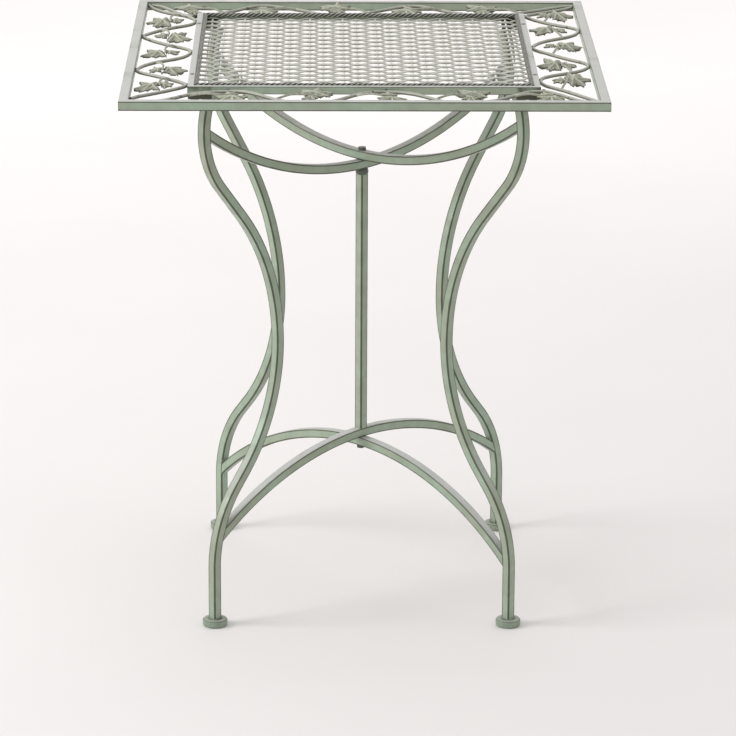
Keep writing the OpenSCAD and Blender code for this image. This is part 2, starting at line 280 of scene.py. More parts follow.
def start_tree(name, kind, inputs, outputs):
    """A new node group with named sockets, given as (name, type, default) and (name, type)."""
    tree = bpy.data.node_groups.new(name, kind)
    for socket_name, socket_type, default in inputs:
        kind_of_socket = "NodeSocket" + socket_type
        socket = tree.interface.new_socket(socket_name, in_out="INPUT", socket_type=kind_of_socket)
        if default is not None:
            socket.default_value = default
    for socket_name, socket_type in outputs:
        tree.interface.new_socket(socket_name, in_out="OUTPUT", socket_type="NodeSocket" + socket_type)
    nodes = Nodes(tree)
    given = nodes.add("NodeGroupInput").outputs
    result = nodes.add("NodeGroupOutput").inputs
    return tree, nodes, given, result


def grow(name, points, tree, settings, chained=True):
    """Runs a geometry node tree on a chain of points, or on loose points, and keeps the plain mesh."""
    edges = [(i, i + 1) for i in range(len(points) - 1)] if chained else []
    chain = bpy.data.meshes.new(name)
    chain.from_pydata([tuple(p) for p in points], edges, [])
    host = link(bpy.data.objects.new(name, chain))
    modifier = host.modifiers.new(tree.name, "NODES")
    modifier.node_group = tree
    for socket_name, value in settings.items():
        modifier[tree.interface.items_tree[socket_name].identifier] = value
    view = bpy.context.evaluated_depsgraph_get()
    made = bpy.data.meshes.new_from_object(host.evaluated_get(view))
    if not made.polygons:
        raise RuntimeError(f"the {tree.name} tree made no faces for {name}")
    host.modifiers.remove(modifier)
    host.data = made
    made.name = name
    made.set_sharp_from_angle(angle=SHARP_ANGLE)
    return host


def mesh_piece(name, verts, faces, material, marks=None):
    """A mesh object from points and faces, with one value a point for each named mark."""
    mesh = bpy.data.meshes.new(name)
    mesh.from_pydata([tuple(v) for v in verts], [], faces)
    for mark, values in (marks or {}).items():
        mesh.attributes.new(mark, "FLOAT", "POINT").data.foreach_set("value", values)
    mesh.materials.append(material)
    mesh.polygons.foreach_set("use_smooth", [True] * len(mesh.polygons))
    mesh.set_sharp_from_angle(angle=SHARP_ANGLE)
    return link(bpy.data.objects.new(name, mesh))


def place(piece, matrix):
    piece.data.transform(matrix)
    return piece


def settle(piece, slot, *nodes):
    """Gives a finished piece its body and hides the frame nodes it stands for; the slot is not used."""
    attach(piece, "root")
    if nodes:
        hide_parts(*nodes)
    return piece


def cut(piece, point, normal):
    """Saws a mesh off square at a plane and closes the cut."""
    work = bmesh.new()
    work.from_mesh(piece.data)
    geometry = work.verts[:] + work.edges[:] + work.faces[:]
    bmesh.ops.bisect_plane(work, geom=geometry, plane_co=point, plane_no=normal, clear_outer=True)
    bmesh.ops.holes_fill(work, edges=[e for e in work.edges if e.is_boundary])
    work.to_mesh(piece.data)
    work.free()
    piece.data.set_sharp_from_angle(angle=SHARP_ANGLE)


def quarter_turn(k):
    return Matrix.Rotation(k * math.pi / 2, 4, "Z")


def turned(degrees):
    return Matrix.Rotation(math.radians(degrees), 4, "Z")


def strip_faces(rings, around, first=0):
    """Faces between successive rings of the same number of points."""
    faces = []
    for r in range(rings - 1):
        for i in range(around):
            a = first + r * around + i
            b = first + r * around + (i + 1) % around
            faces.append((a, b, b + around, a + around))
    return faces


def lathe(profile, sides=48):
    """A turned form from rings of (radius, height, hexness, edge mark); hexness 1 makes a ring hexagonal."""
    verts, marks = [], []
    for radius, z, hexness, mark in profile:
        marks += [mark] * sides
        for i in range(sides):
            angle = 2 * math.pi * i / sides
            offset = (angle + math.pi / 6) % (math.pi / 3) - math.pi / 6
            r = radius / math.cos(offset) ** hexness
            verts.append(Vector((r * math.cos(angle), r * math.sin(angle), z)))
    faces = strip_faces(len(profile), sides)
    faces.append(tuple(reversed(range(sides))))
    last = (len(profile) - 1) * sides
    faces.append(tuple(range(last, last + sides)))
    return verts, faces, marks


def joined(name, parts, material):
    """One object from several forms of points, faces and edge marks, each with its place."""
    verts, faces, marks = [], [], []
    for (part_verts, part_faces, part_marks), matrix in parts:
        base = len(verts)
        verts += [matrix @ v for v in part_verts]
        faces += [tuple(base + i for i in f) for f in part_faces]
        marks += part_marks
    return mesh_piece(name, verts, faces, material, {"edge": marks})


def rounded_outline(corners, radius, steps=4, support=1.6 * MM):
    """Points of a closed outline with rounded corners, and how near each is to an edge."""
    points, nearness = [], []
    count = len(corners)
    for i in range(count):
        corner = Vector(corners[i])
        back = Vector(corners[i - 1]) - corner
        ahead = Vector(corners[(i + 1) % count]) - corner
        reach = min(radius, 0.35 * back.length, 0.35 * ahead.length)
        room = min(support, 0.5 * back.length - reach, 0.5 * ahead.length - reach)
        back.normalize()
        ahead.normalize()
        points.append(corner + back * (reach + 0.9 * room))
        nearness.append(0.0)
        for k in range(steps + 1):
            f = k / steps
            inner = back * reach * (1 - f) ** 2 + ahead * reach * f ** 2
            points.append(corner + inner)
            nearness.append(1.0)
        points.append(corner + ahead * (reach + 0.9 * room))
        nearness.append(0.0)
    return points, nearness


def mitred_rail(name, corners, radius, material, k):
    """A rail whose section is given as (distance from the middle, height), mitred at both ends."""
    outline, nearness = rounded_outline(corners, radius)
    around = len(outline)
    outer = max(p.x for p in outline)
    brink = 1 - 2.2 * MM / outer
    shares = [-1, -brink] + [brink * (n / 11 - 1) for n in range(1, 22)] + [brink, 1]
    cuts = len(shares) - 1
    verts, values = [], []
    for f in shares:
        for p, near in zip(outline, nearness):
            verts.append(Vector((f * p.x, -p.x, p.y)))
            values.append(1.0 if abs(f) == 1 and p.x > outer - 0.1 * MM else near)
    faces = [tuple(reversed(f)) for f in strip_faces(cuts + 1, around)]
    faces.append(tuple(range(around)))
    faces.append(tuple(reversed(range(cuts * around, (cuts + 1) * around))))
    piece = mesh_piece(name, verts, faces, material, {"edge": values})
    face_out(piece)
    return place(piece, quarter_turn(k))


def face_out(piece):
    work = bmesh.new()
    work.from_mesh(piece.data)
    bmesh.ops.recalc_face_normals(work, faces=work.faces)
    work.to_mesh(piece.data)
    work.free()


# ---------------------------------------------------------------- node groups for the finishes

def edge_rub_and_light_group():
    """How far wax or bare metal shows along an edge, broken up as hand rubbing leaves it. The woven bands use
    the same mask for painted shade on their edge faces, and the twisted bar for light ridges, partly rubbed
    paint and partly a painted highlight.
    """
    tree, nodes, given, result = start_tree(
        "Edge Rub and Painted Light", "ShaderNodeTree",
        [("Edge", "Float", 0.0), ("Vector", "Vector", None), ("Start", "Float", 0.6),
         ("Full", "Float", 0.95), ("Break-up", "Float", 0.35), ("Grain Scale", "Float", 60.0)],
        [("Mask", "Float")])
    grain = nodes.noise(given["Grain Scale"], 4.0, Vector=given["Vector"], Roughness=0.6)
    centred = nodes.math("SUBTRACT", grain, 0.5)
    shifted = nodes.math("MULTIPLY_ADD", centred, given["Break-up"], given["Edge"])
    nodes.tree.links.new(nodes.ramp(shifted, given["Start"], given["Full"]), result["Mask"])
    return tree


def brushed_paint_group():
    """Cloudy changes of colour, short brush streaks and a fine grain, as thin hand-rubbed paint has."""
    tree, nodes, given, result = start_tree(
        "Brushed Paint", "ShaderNodeTree",
        [("Vector", "Vector", None), ("Cloud Scale", "Float", 9.0), ("Streak Scale", "Float", 60.0),
         ("Grain Scale", "Float", 900.0)],
        [("Clouds", "Float"), ("Streaks", "Float"), ("Grain", "Float")])
    clouds = nodes.noise(given["Cloud Scale"], 3.0, Vector=given["Vector"], Roughness=0.55)
    streaks = nodes.noise(given["Streak Scale"], 5.0, Vector=given["Vector"], Distortion=0.6)
    grain = nodes.noise(given["Grain Scale"], 2.0, Vector=given["Vector"])
    nodes.tree.links.new(nodes.ramp(clouds, 0.36, 0.64), result["Clouds"])
    nodes.tree.links.new(nodes.ramp(streaks, 0.3, 0.7), result["Streaks"])
    nodes.tree.links.new(grain, result["Grain"])
    return tree


def dust_and_sheen_group():
    """Pale colour on faces that look up: partly settled dust, partly a painted sheen of the light from above.
    """
    tree, nodes, given, result = start_tree(
        "Settled Dust and Sheen", "ShaderNodeTree",
        [("Vector", "Vector", None), ("Amount", "Float", 0.5), ("Patch Scale", "Float", 30.0)],
        [("Mask", "Float")])
    up = nodes.axes(nodes.add("ShaderNodeNewGeometry").outputs["Normal"])[2]
    patch = nodes.noise(given["Patch Scale"], 4.0, Vector=given["Vector"])
    mask = nodes.times(nodes.ramp(up, 0.45, 0.95), nodes.ramp(patch, 0.1, 0.5))
    nodes.tree.links.new(nodes.times(mask, given["Amount"]), result["Mask"])
    return tree


# ---------------------------------------------------------------- finishes

def linear(rgb):
    return (*Color(rgb).from_srgb_to_scene_linear(), 1.0)


def dimmed(tone, share):
    return (*(share * c for c in tone[:3]), 1.0)


def group(nodes, tree, inputs):
    return nodes.add("ShaderNodeGroup", inputs, node_tree=tree).outputs


def start_material(name):
    material = bpy.data.materials.new(name)
    material.use_nodes = True
    material.node_tree.nodes.clear()
    nodes = Nodes(material.node_tree)
    shader = nodes.add("ShaderNodeBsdfPrincipled")
    output = nodes.add("ShaderNodeOutputMaterial")
    nodes.tree.links.new(shader.outputs[0], output.inputs["Surface"])
    here = nodes.add("ShaderNodeTexCoord").outputs["Object"]
    return material, nodes, shader, here


def finish_shader(nodes, shader, base, roughness, height, strength, distance):
    nodes.tree.links.new(base, shader.inputs["Base Color"])
    nodes.tree.links.new(roughness, shader.inputs["Roughness"])
    bump = nodes.add("ShaderNodeBump", {"Strength": strength, "Distance": distance, "Height": height})
    nodes.tree.links.new(bump.outputs[0], shader.inputs["Normal"])


def mark_value(nodes, name):
    return nodes.add("ShaderNodeAttribute", attribute_name=name).outputs["Fac"]


# Pale grey for faces that look up, standing for settled dust and for a painted sheen
DUST_AND_SHEEN = (0.54, 0.54, 0.52, 1.0)


def painted_bar(name, light, worn, patina, groups, rub_start=0.66, dust_and_sheen=0.9, painted_underside_shade=0.0, rubbed=0.88,
                corner=0.0):
    """Paint with olive clouds, wax-dark edges, pale dust with a painted sheen on top, and painted shade on
    the faces that look down.

    A corner is how far out a frame's corners stand; the upright faces near them are stained dark."""
    material, nodes, shader, here = start_material(name)
    paint = group(nodes, groups["paint"], {"Vector": here})
    edge_rub_and_light = group(nodes, groups["edge_rub_and_light"], {"Edge": mark_value(nodes, "edge"), "Vector": here, "Start": rub_start})
    settled_dust_and_sheen = group(nodes, groups["dust_and_sheen"], {"Vector": here, "Amount": dust_and_sheen})
    base = nodes.mix(nodes.times(paint["Clouds"], 0.65), light, worn)
    streaked = nodes.mix(nodes.times(paint["Streaks"], 0.14), base, patina)
    facing = nodes.axes(nodes.add("ShaderNodeNewGeometry").outputs["Normal"])
    # Painted shade: faces that look down are darkened towards the patina colour
    underside_shade = nodes.times(nodes.ramp(facing[2], 0.4, -0.3), painted_underside_shade)
    shaded = nodes.mix(underside_shade, streaked, patina)
    if corner:
        at = nodes.axes(here)
        inner = nodes.math("MINIMUM", nodes.math("ABSOLUTE", at[0]), nodes.math("ABSOLUTE", at[1]))
        upright_face = nodes.ramp(facing[2], 0.6, 0.3)
        scorched = nodes.times(nodes.ramp(inner, corner - 32 * MM, corner - 27 * MM), upright_face)
        stained = nodes.times(scorched, nodes.math("MULTIPLY_ADD", paint["Streaks"], 0.5, 0.3))
        shaded = nodes.mix(stained, shaded, patina)
    waxed = nodes.mix(nodes.times(edge_rub_and_light["Mask"], rubbed), shaded, patina)
    # Faces that look up turn pale grey: settled dust together with a painted sheen of the light from above
    with_dust_and_sheen = nodes.mix(settled_dust_and_sheen["Mask"], waxed, DUST_AND_SHEEN)
    roughness = nodes.math("MULTIPLY_ADD", paint["Streaks"], 0.16, 0.30)
    height = nodes.math("MULTIPLY_ADD", paint["Grain"], 0.4, paint["Streaks"])
    finish_shader(nodes, shader, with_dust_and_sheen, roughness, height, 0.25, 0.25 * MM)
    return material


def woven_steel(name, pale, shade, groups, middle_z, dip_shade=0.5):
    """Pale paint on the bands, with painted shade where a band dips and on its edge faces."""
    material, nodes, shader, here = start_material(name)
    paint = group(nodes, groups["paint"], {"Vector": here, "Cloud Scale": 22.0, "Streak Scale": 180.0})
    edge_rub_and_light = group(nodes, groups["edge_rub_and_light"], {"Edge": mark_value(nodes, "edge"), "Vector": here,
                                       "Start": 0.5, "Full": 1.0, "Grain Scale": 200.0})
    depth = nodes.axes(here)[2]
    # Painted shade: where a band dips below the middle it is darkened towards the shade colour
    dip = nodes.ramp(depth, middle_z + 1.2 * MM, middle_z - 2.6 * MM)
    base = nodes.mix(nodes.times(paint["Clouds"], 0.25), pale, shade)
    dip_shaded = nodes.mix(nodes.times(dip, dip_shade), base, shade)
    # Painted shade on the band's edge faces
    edged = nodes.mix(nodes.times(edge_rub_and_light["Mask"], 0.85), dip_shaded, dimmed(shade, 0.4))
    roughness = nodes.math("MULTIPLY_ADD", paint["Streaks"], 0.15, 0.28)
    finish_shader(nodes, shader, edged, roughness, paint["Streaks"], 0.2, 0.15 * MM)
    return material


def twisted_iron(name, pale, dark, groups):
    """Twisted bar, dark in its hollows, partly wax and partly painted shade, and light on its ridges, partly
    rubbed paint and partly a painted highlight.
    """
    material, nodes, shader, here = start_material(name)
    paint = group(nodes, groups["paint"], {"Vector": here})
    edge_rub_and_light = group(nodes, groups["edge_rub_and_light"], {"Edge": mark_value(nodes, "edge"), "Vector": here,
                                       "Start": 0.86, "Full": 1.05, "Break-up": 0.1})
    # Hollows: dark wax and painted shade; ridges: rubbed paint and painted highlight
    hollow = nodes.mix(nodes.times(paint["Streaks"], 0.12), dark, pale)
    base = nodes.mix(edge_rub_and_light["Mask"], hollow, pale)
    roughness = nodes.math("MULTIPLY_ADD", paint["Streaks"], 0.2, 0.35)
    finish_shader(nodes, shader, base, roughness, paint["Streaks"], 0.2, 0.15 * MM)
    return material


def leaf_metal(name, leaf, cream, patina, groups):
    """Stamped leaf: light paint on the veins, wax in the folds and a dark worn rim."""
    material, nodes, shader, here = start_material(name)
    paint = group(nodes, groups["paint"], {"Vector": here, "Cloud Scale": 60.0, "Streak Scale": 260.0})
    vein = nodes.times(nodes.ramp(mark_value(nodes, "vein"), 0.15, 0.8), 0.75)
    rim = nodes.ramp(mark_value(nodes, "rim"), 0.25, 0.95)
    base = nodes.mix(nodes.times(paint["Clouds"], 0.3), leaf, cream)
    folded = nodes.mix(nodes.times(paint["Streaks"], 0.5), base, patina)
    edged = nodes.mix(nodes.times(rim, 0.85), folded, patina)
    veined = nodes.mix(vein, edged, cream)
    roughness = nodes.math("MULTIPLY_ADD", paint["Streaks"], 0.25, 0.38)
    finish_shader(nodes, shader, veined, roughness, paint["Streaks"], 0.5, 0.3 * MM)
    return material


def floor_paper(name, paper, groups):
    """Matt studio paper with faint clouds."""
    material, nodes, shader, here = start_material(name)
    paint = group(nodes, groups["paint"], {"Vector": here, "Cloud Scale": 0.8, "Streak Scale": 4.0,
                                           "Grain Scale": 300.0})
    base = nodes.mix(paint["Clouds"], paper, dimmed(paper, 0.97))
    roughness = nodes.math("MULTIPLY_ADD", paint["Grain"], 0.1, 0.75)
    finish_shader(nodes, shader, base, roughness, paint["Grain"], 0.05, 0.1 * MM)
    return material


def make_finishes(scene):
    """Every material of the table, by its short name. Made once."""
    tones = scene.bistro_finishes
    groups = {"edge_rub_and_light": edge_rub_and_light_group(), "paint": brushed_paint_group(), "dust_and_sheen": dust_and_sheen_group()}
    sage, olive, patina = linear(tones.sage), linear(tones.olive), linear(tones.patina)
    pale, leaf, cream = linear(tones.pale), linear(tones.leaf), linear(tones.cream)
    iron, wire, shade = linear(tones.iron), linear(tones.wire), linear(tones.shade)
    # Dark sage: painted shade on the plates under the top, and worn paint on the fixings
    black, dark_sage_for_shade_and_wear = dimmed(patina, 0.3), dimmed(sage, 0.36)
    panel_z = (BANDS_LOW.z + BANDS_HIGH.z) / 2
    painted_bar("Sage paint with waxed edges", sage, olive, patina, groups)
    # Welds: olive clouded with the shaded sage, as painted shade
    painted_bar("Sage paint over welds with painted shade", olive, shade, patina, groups, rub_start=0.2, dust_and_sheen=0.2)
    # Feet: a darker copy of the sage paint, as painted shade
    painted_bar("Waxed foot paint darkened as painted shade", dimmed(sage, 0.72), olive, patina, groups,
                rub_start=0.5, dust_and_sheen=0.25)
    # Plates under the top: dark sage as painted shade, with more painted shade on faces that look down
    painted_bar("Waxed plate paint darkened as painted shade", dark_sage_for_shade_and_wear, patina, patina, groups, dust_and_sheen=0.1, painted_underside_shade=0.3)
    painted_bar("Sage paint stained at the corners", sage, olive, patina, groups, corner=PANEL_HALF)
    painted_bar("Dark iron fixings", iron, dark_sage_for_shade_and_wear, black, groups, rub_start=0.5, dust_and_sheen=0.3)
    painted_bar("Burnt weld metal", patina, black, black, groups, rub_start=0.5, dust_and_sheen=0.0)
    # The wire's lower side is darkened as painted shade
    painted_bar("Vine wire paint", wire, olive, patina, groups, rub_start=0.5, dust_and_sheen=0.5, painted_underside_shade=0.85)
    woven_steel("Pale woven steel", dimmed(pale, 0.86), leaf, groups, panel_z)
    # Rods: a whiter copy of the panel paint as painted highlight, without dip shade
    woven_steel("Rod paint whitened as painted highlight", linear(tones.rod), pale, groups, panel_z, 0.0)
    twisted_iron("Twisted bar paint", pale, black, groups)
    leaf_metal("Stamped leaf paint", leaf, cream, patina, groups)
    floor_paper("Studio paper", linear(scene.bistro_studio.floor_colour), groups)


def finish_named(name):
    if name not in bpy.data.materials:
        make_finishes(bpy.context.scene)
    return bpy.data.materials[name]


# ---------------------------------------------------------------- geometry node trees

def start_shape_tree(name, inputs):
    """A tree that takes points and a material, and named numbers with their defaults."""
    sockets = [("Geometry", "Geometry", None), ("Material", "Material", None)]
    for socket_name, default in inputs.items():
        sockets.append((socket_name, "Int" if isinstance(default, int) else "Float", default))
    return start_tree(name, "GeometryNodeTree", sockets, [("Geometry", "Geometry")])


def finish_tree(nodes, given, result, mesh):
    """Smooth faces, real geometry and the material, as every tree ends."""
    smooth = nodes.add("GeometryNodeSetShadeSmooth", {"Geometry": mesh}).outputs[0]
    real = nodes.add("GeometryNodeRealizeInstances", {"Geometry": smooth}).outputs[0]
    painted = nodes.add("GeometryNodeSetMaterial", {"Geometry": real, "Material": given["Material"]})
    nodes.tree.links.new(painted.outputs[0], result["Geometry"])


def square_profile(nodes, side, edge_round, cuts, fillet_steps, fade):
    """Rounded square section; its edge value is 1 on the rounding and falls to 0 over the fade."""
    square = nodes.add("GeometryNodeCurvePrimitiveQuadrilateral", {"Width": side, "Height": side}).outputs[0]
    finer = nodes.add("GeometryNodeSubdivideCurve", {"Curve": square, "Cuts": cuts}).outputs[0]
    inputs = {"Curve": finer, "Count": fillet_steps, "Radius": edge_round}
    fillet = nodes.add("GeometryNodeFilletCurve", inputs, mode="POLY").outputs[0]
    at = nodes.position()
    nearest = nodes.math("MINIMUM", nodes.math("ABSOLUTE", at[0]), nodes.math("ABSOLUTE", at[1]))
    off = nodes.math("SUBTRACT", nodes.times(side, 0.5), nearest)
    return nodes.edge_mark(fillet, nodes.ramp(nodes.math("SUBTRACT", off, edge_round), fade, 0.1 * MM))


def bent_bar_tree():
    """A square bar along a line drawn in the XZ plane, then turned about Z to its own plane."""
    tree, nodes, given, result = start_shape_tree(
        "Bent Square Bar", {"Side": BAR, "Edge Round": MM, "Plane Turn": 0.0})
    profile = square_profile(nodes, given["Side"], given["Edge Round"], 2, 5, 2 * MM)
    bar = nodes.swept(nodes.curve_of(given["Geometry"]), profile)
    turn = nodes.add("FunctionNodeEulerToRotation", {0: nodes.vector(z=given["Plane Turn"])}).outputs[0]
    stood = nodes.add("GeometryNodeTransform", {"Geometry": bar, "Rotation": turn}).outputs[0]
    finish_tree(nodes, given, result, stood)
    return tree


def twisted_bar_tree():
    """A square bar twisted evenly about its own line."""
    tree, nodes, given, result = start_shape_tree(
        "Twisted Square Bar", {"Side": MM, "Edge Round": MM, "Lead": MM, "Step": MM})
    fine = nodes.curve_of(given["Geometry"], given["Step"])
    along = nodes.add("GeometryNodeSplineParameter").outputs["Length"]
    turns = nodes.math("DIVIDE", along, given["Lead"])
    tilt = nodes.times(turns, -2 * math.pi)
    tilted = nodes.add("GeometryNodeSetCurveTilt", {"Curve": fine, "Tilt": tilt}).outputs[0]
    profile = square_profile(nodes, given["Side"], given["Edge Round"], 1, 3, 2 * MM)
    finish_tree(nodes, given, result, nodes.swept(tilted, profile))
    return tree


def round_wire_tree():
    """A round wire along a smooth path."""
    tree, nodes, given, result = start_shape_tree(
        "Round Wire", {"Diameter": MM, "Step": MM, "Hammering": 0.0})
    fine = nodes.curve_of(given["Geometry"], given["Step"])
    wire = nodes.swept(fine, nodes.circle(14, given["Diameter"]))
    dents = nodes.noise(160.0, 1.0)
    push = nodes.times(nodes.math("SUBTRACT", dents, 0.5), given["Hammering"])
    marked = nodes.edge_mark(nodes.pushed(wire, push), nodes.ramp(dents, 0.55, 0.72))
    finish_tree(nodes, given, result, marked)
    return tree


def weld_bead_tree():
    """A lumpy bead of weld metal at each point."""
    tree, nodes, given, result = start_shape_tree("Weld Beads", {"Radius": MM, "Roughness": 0.2, "Seed": 3})
    bead = nodes.add("GeometryNodeMeshIcoSphere", {"Radius": given["Radius"], "Subdivisions": 3}).outputs[0]
    spread = {0: (0.8, 0.8, 0.6), 1: (1.2, 1.2, 0.9), "Seed": given["Seed"]}
    size = nodes.add("FunctionNodeRandomValue", spread, data_type="FLOAT_VECTOR").outputs[0]
    inputs = {"Points": given["Geometry"], "Instance": bead, "Scale": size}
    beads = nodes.add("GeometryNodeInstanceOnPoints", inputs).outputs[0]
    real = nodes.add("GeometryNodeRealizeInstances", {"Geometry": beads}).outputs[0]
    lumps = nodes.noise(420.0, 2.0)
    reach = nodes.times(given["Radius"], given["Roughness"])
    push = nodes.times(nodes.math("SUBTRACT", lumps, 0.5), reach)
    marked = nodes.edge_mark(nodes.pushed(real, push), nodes.ramp(lumps, 0.4, 0.6))
    finish_tree(nodes, given, result, marked)
    return tree


def crossband_tree():
    """One waved flat band at each point; every second one is turned over so that the waves alternate."""
    tree, nodes, given, result = start_shape_tree("Woven Crossbands", {
        "Half Length": 0.2, "Rod Pitch": 0.02, "Rise": MM, "Width": MM, "Thickness": MM, "Crest": 1.5,
        "Looseness": 0.0, "Steps": 160, "Shift": 0.0, "Pairing": 0.0})
    fine = nodes.centred_line(given["Half Length"], given["Steps"], "x")
    x = nodes.position()[0]
    moved = nodes.math("ADD", x, given["Shift"])
    even_phase = nodes.math("DIVIDE", nodes.times(moved, math.pi), given["Rod Pitch"])
    even = nodes.math("COSINE", even_phase)
    paired = nodes.math("MULTIPLY_ADD", even, given["Pairing"], moved)
    phase = nodes.math("DIVIDE", nodes.times(paired, math.pi), given["Rod Pitch"])
    wave = nodes.times(nodes.math("COSINE", phase), given["Crest"])
    flat_top = nodes.math("DIVIDE", nodes.math("TANH", wave), nodes.math("TANH", given["Crest"]))
    to_end = nodes.math("SUBTRACT", given["Half Length"], nodes.math("ABSOLUTE", x))
    fade = nodes.ramp(to_end, 0.0, 9 * MM)
    height = nodes.times(nodes.times(flat_top, given["Rise"]), fade)
    waved = nodes.moved(fine, nodes.vector(z=height))
    size = {"Width": given["Width"], "Height": given["Thickness"]}
    flat = nodes.add("GeometryNodeCurvePrimitiveQuadrilateral", size).outputs[0]
    soft = {"Curve": flat, "Count": 1, "Radius": nodes.times(given["Thickness"], 0.42)}
    fillet = nodes.add("GeometryNodeFilletCurve", soft, mode="POLY").outputs[0]
    share_out = nodes.math("DIVIDE", nodes.math("ABSOLUTE", nodes.position()[0]), given["Width"])
    band = nodes.swept(waved, nodes.edge_mark(fillet, nodes.ramp(share_out, 0.42, 0.5)))
    bands = nodes.placed_in_turn(given["Geometry"], band, "x")
    real = nodes.add("GeometryNodeRealizeInstances", {"Geometry": bands}).outputs[0]
    shift = nodes.add("ShaderNodeTexNoise", {"Scale": 38.0, "Detail": 1.0}).outputs["Color"]
    middle = {0: shift, 1: (0.5, 0.5, 0.5)}
    centred = nodes.add("ShaderNodeVectorMath", middle, operation="SUBTRACT").outputs[0]
    loose = nodes.scaled(centred, nodes.times(given["Looseness"], 2.0))
    finish_tree(nodes, given, result, nodes.moved(real, loose))
    return tree


def rod_tree():
    """One lengthwise rod at each point, lying in the valleys of the bands."""
    tree, nodes, given, result = start_shape_tree("Woven Rods", {
        "Half Length": 0.2, "Band Pitch": 0.01, "Sway": 0.0, "Diameter": MM, "Steps": 140})
    fine = nodes.centred_line(given["Half Length"], given["Steps"], "y")
    phase = nodes.math("DIVIDE", nodes.times(nodes.position()[1], math.pi), given["Band Pitch"])
    sway = nodes.times(given["Sway"], -1.0)
    height = nodes.times(nodes.math("COSINE", phase), sway)
    rod = nodes.swept(nodes.moved(fine, nodes.vector(z=height)), nodes.circle(10, given["Diameter"]))
    finish_tree(nodes, given, result, nodes.placed_in_turn(given["Geometry"], rod, "y"))
    return tree


# ---------------------------------------------------------------- the top

def make_border_frame(context):
    """Four mitred lengths of square bar."""
    sizes = context.scene.bistro_top
    low = TOP_Z - BAR
    section = [(HALF_TOP, low), (HALF_TOP, TOP_Z), (HALF_TOP - BAR, TOP_Z), (HALF_TOP - BAR, low)]
    for k, side in enumerate(SIDES):
        rail = mitred_rail(f"border_rail_{side}", section, sizes.edge_round,
                           finish_named("Sage paint with waxed edges"), k)
        settle(rail, "painted_iron", f"outer_rail_{side}")


def rivet_form():
    """A dome-headed rivet through the flange, with its middle at the flange's middle."""
    head, rise, shank, half = 2.75 * MM, 1.1 * MM, 1.5 * MM, 1.5 * MM
    profile = []
    for k in range(6):
        a = math.radians(8 + 82 * k / 5)
        profile.append((head * math.sin(a), -half - rise * math.cos(a), 0, k / 5))
    profile += [(shank, -half, 0, 1), (shank, half, 0, 1)]
    for k in range(6):
        a = math.radians(90 - 82 * k / 5)
        profile.append((head * math.sin(a), half + rise * math.cos(a), 0, 1 - k / 5))
    return lathe(profile, 24)


def make_panel_frame(context):
    """Four mitred angle sections and the four rivets in the side flanges."""
    sizes = context.scene.bistro_top
    t = sizes.web_thickness
    low = TOP_Z - WEB_HEIGHT
    section = [(PANEL_HALF, low), (PANEL_HALF, TOP_Z), (FLANGE_EDGE, TOP_Z), (FLANGE_EDGE, TOP_Z - t),
               (PANEL_HALF - t, TOP_Z - t), (PANEL_HALF - t, low)]
    for k, side in enumerate(SIDES):
        rail = mitred_rail(f"panel_rail_{side}", section, 0.7 * MM,
                           finish_named("Sage paint stained at the corners"), k)
        settle(rail, "painted_iron", f"inner_rail_{side}")
    rivet_line = (PANEL_HALF + FLANGE_EDGE) / 2
    spots = [Matrix.Translation((x * rivet_line, y * sizes.rivet_place, TOP_Z - t / 2))
             for x in (-1, 1) for y in (-1, 1)]
    forms = [(rivet_form(), spot) for spot in spots]
    rivets = joined("rail_rivets", forms, finish_named("Dark iron fixings"))
    settle(rivets, "fixings", "panel_rivets")


def make_twisted_edging(context):
    """Four lengths of twisted square bar on the inner edge of the flange."""
    sizes = context.scene.bistro_top
    tree = twisted_bar_tree()
    y = (ROPE_LOW.y + ROPE_HIGH.y) / 2
    z = (ROPE_LOW.z + ROPE_HIGH.z) / 2
    for k, side in enumerate(SIDES):
        low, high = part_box(f"rope_bar_{side}")
        half = max(high.x - low.x, high.y - low.y) / 2
        bar = grow(f"twisted_bar_{side}", [(-half, y, z), (half, y, z)], tree,
                   {"Side": sizes.rope_side, "Edge Round": 0.5 * MM, "Lead": sizes.rope_lead,
                    "Step": 0.8 * MM, "Material": finish_named("Twisted bar paint")})
        settle(place(bar, quarter_turn(k)), "woven_steel", f"rope_bar_{side}")


def make_woven_panel(context):
    """Crossbands that ride over one rod and under the next, and the rods that they hold."""
    sizes = context.scene.bistro_weave
    middle = (BANDS_LOW.z + BANDS_HIGH.z) / 2
    half_bands = round((BANDS_HIGH.y - sizes.band_width / 2) / sizes.band_pitch)
    spots = [(0, j * sizes.band_pitch, middle) for j in range(-half_bands, half_bands + 1)]
    bands = grow("woven_bands", spots, crossband_tree(),
                 {"Half Length": BANDS_HIGH.x, "Rod Pitch": sizes.rod_pitch,
                  "Rise": (sizes.rod_width + sizes.band_thickness) / 2, "Width": sizes.band_width,
                  "Thickness": sizes.band_thickness, "Crest": sizes.crest, "Looseness": sizes.looseness,
                  "Shift": sizes.rod_shift, "Pairing": sizes.rod_pairing,
                  "Material": finish_named("Pale woven steel")}, chained=False)
    settle(bands, "woven_steel", "weave_crossbands")
    half_rods = round((RODS_HIGH.x - RODS_LOW.x) / 2 / sizes.rod_pitch)
    spots = []
    for i in range(-half_rods, half_rods + 1):
        pairing = sizes.rod_pairing if i % 2 else -sizes.rod_pairing
        spots.append((i * sizes.rod_pitch - sizes.rod_shift + pairing, 0, middle))
    rods = grow("woven_rods", spots, rod_tree(),
                {"Half Length": RODS_HIGH.y, "Band Pitch": sizes.band_pitch, "Sway": 0.2 * MM,
                 "Diameter": sizes.rod_width, "Material": finish_named("Rod paint whitened as painted highlight")}, chained=False)
    settle(rods, "woven_steel", "weave_rods")


# ---------------------------------------------------------------- the vine border

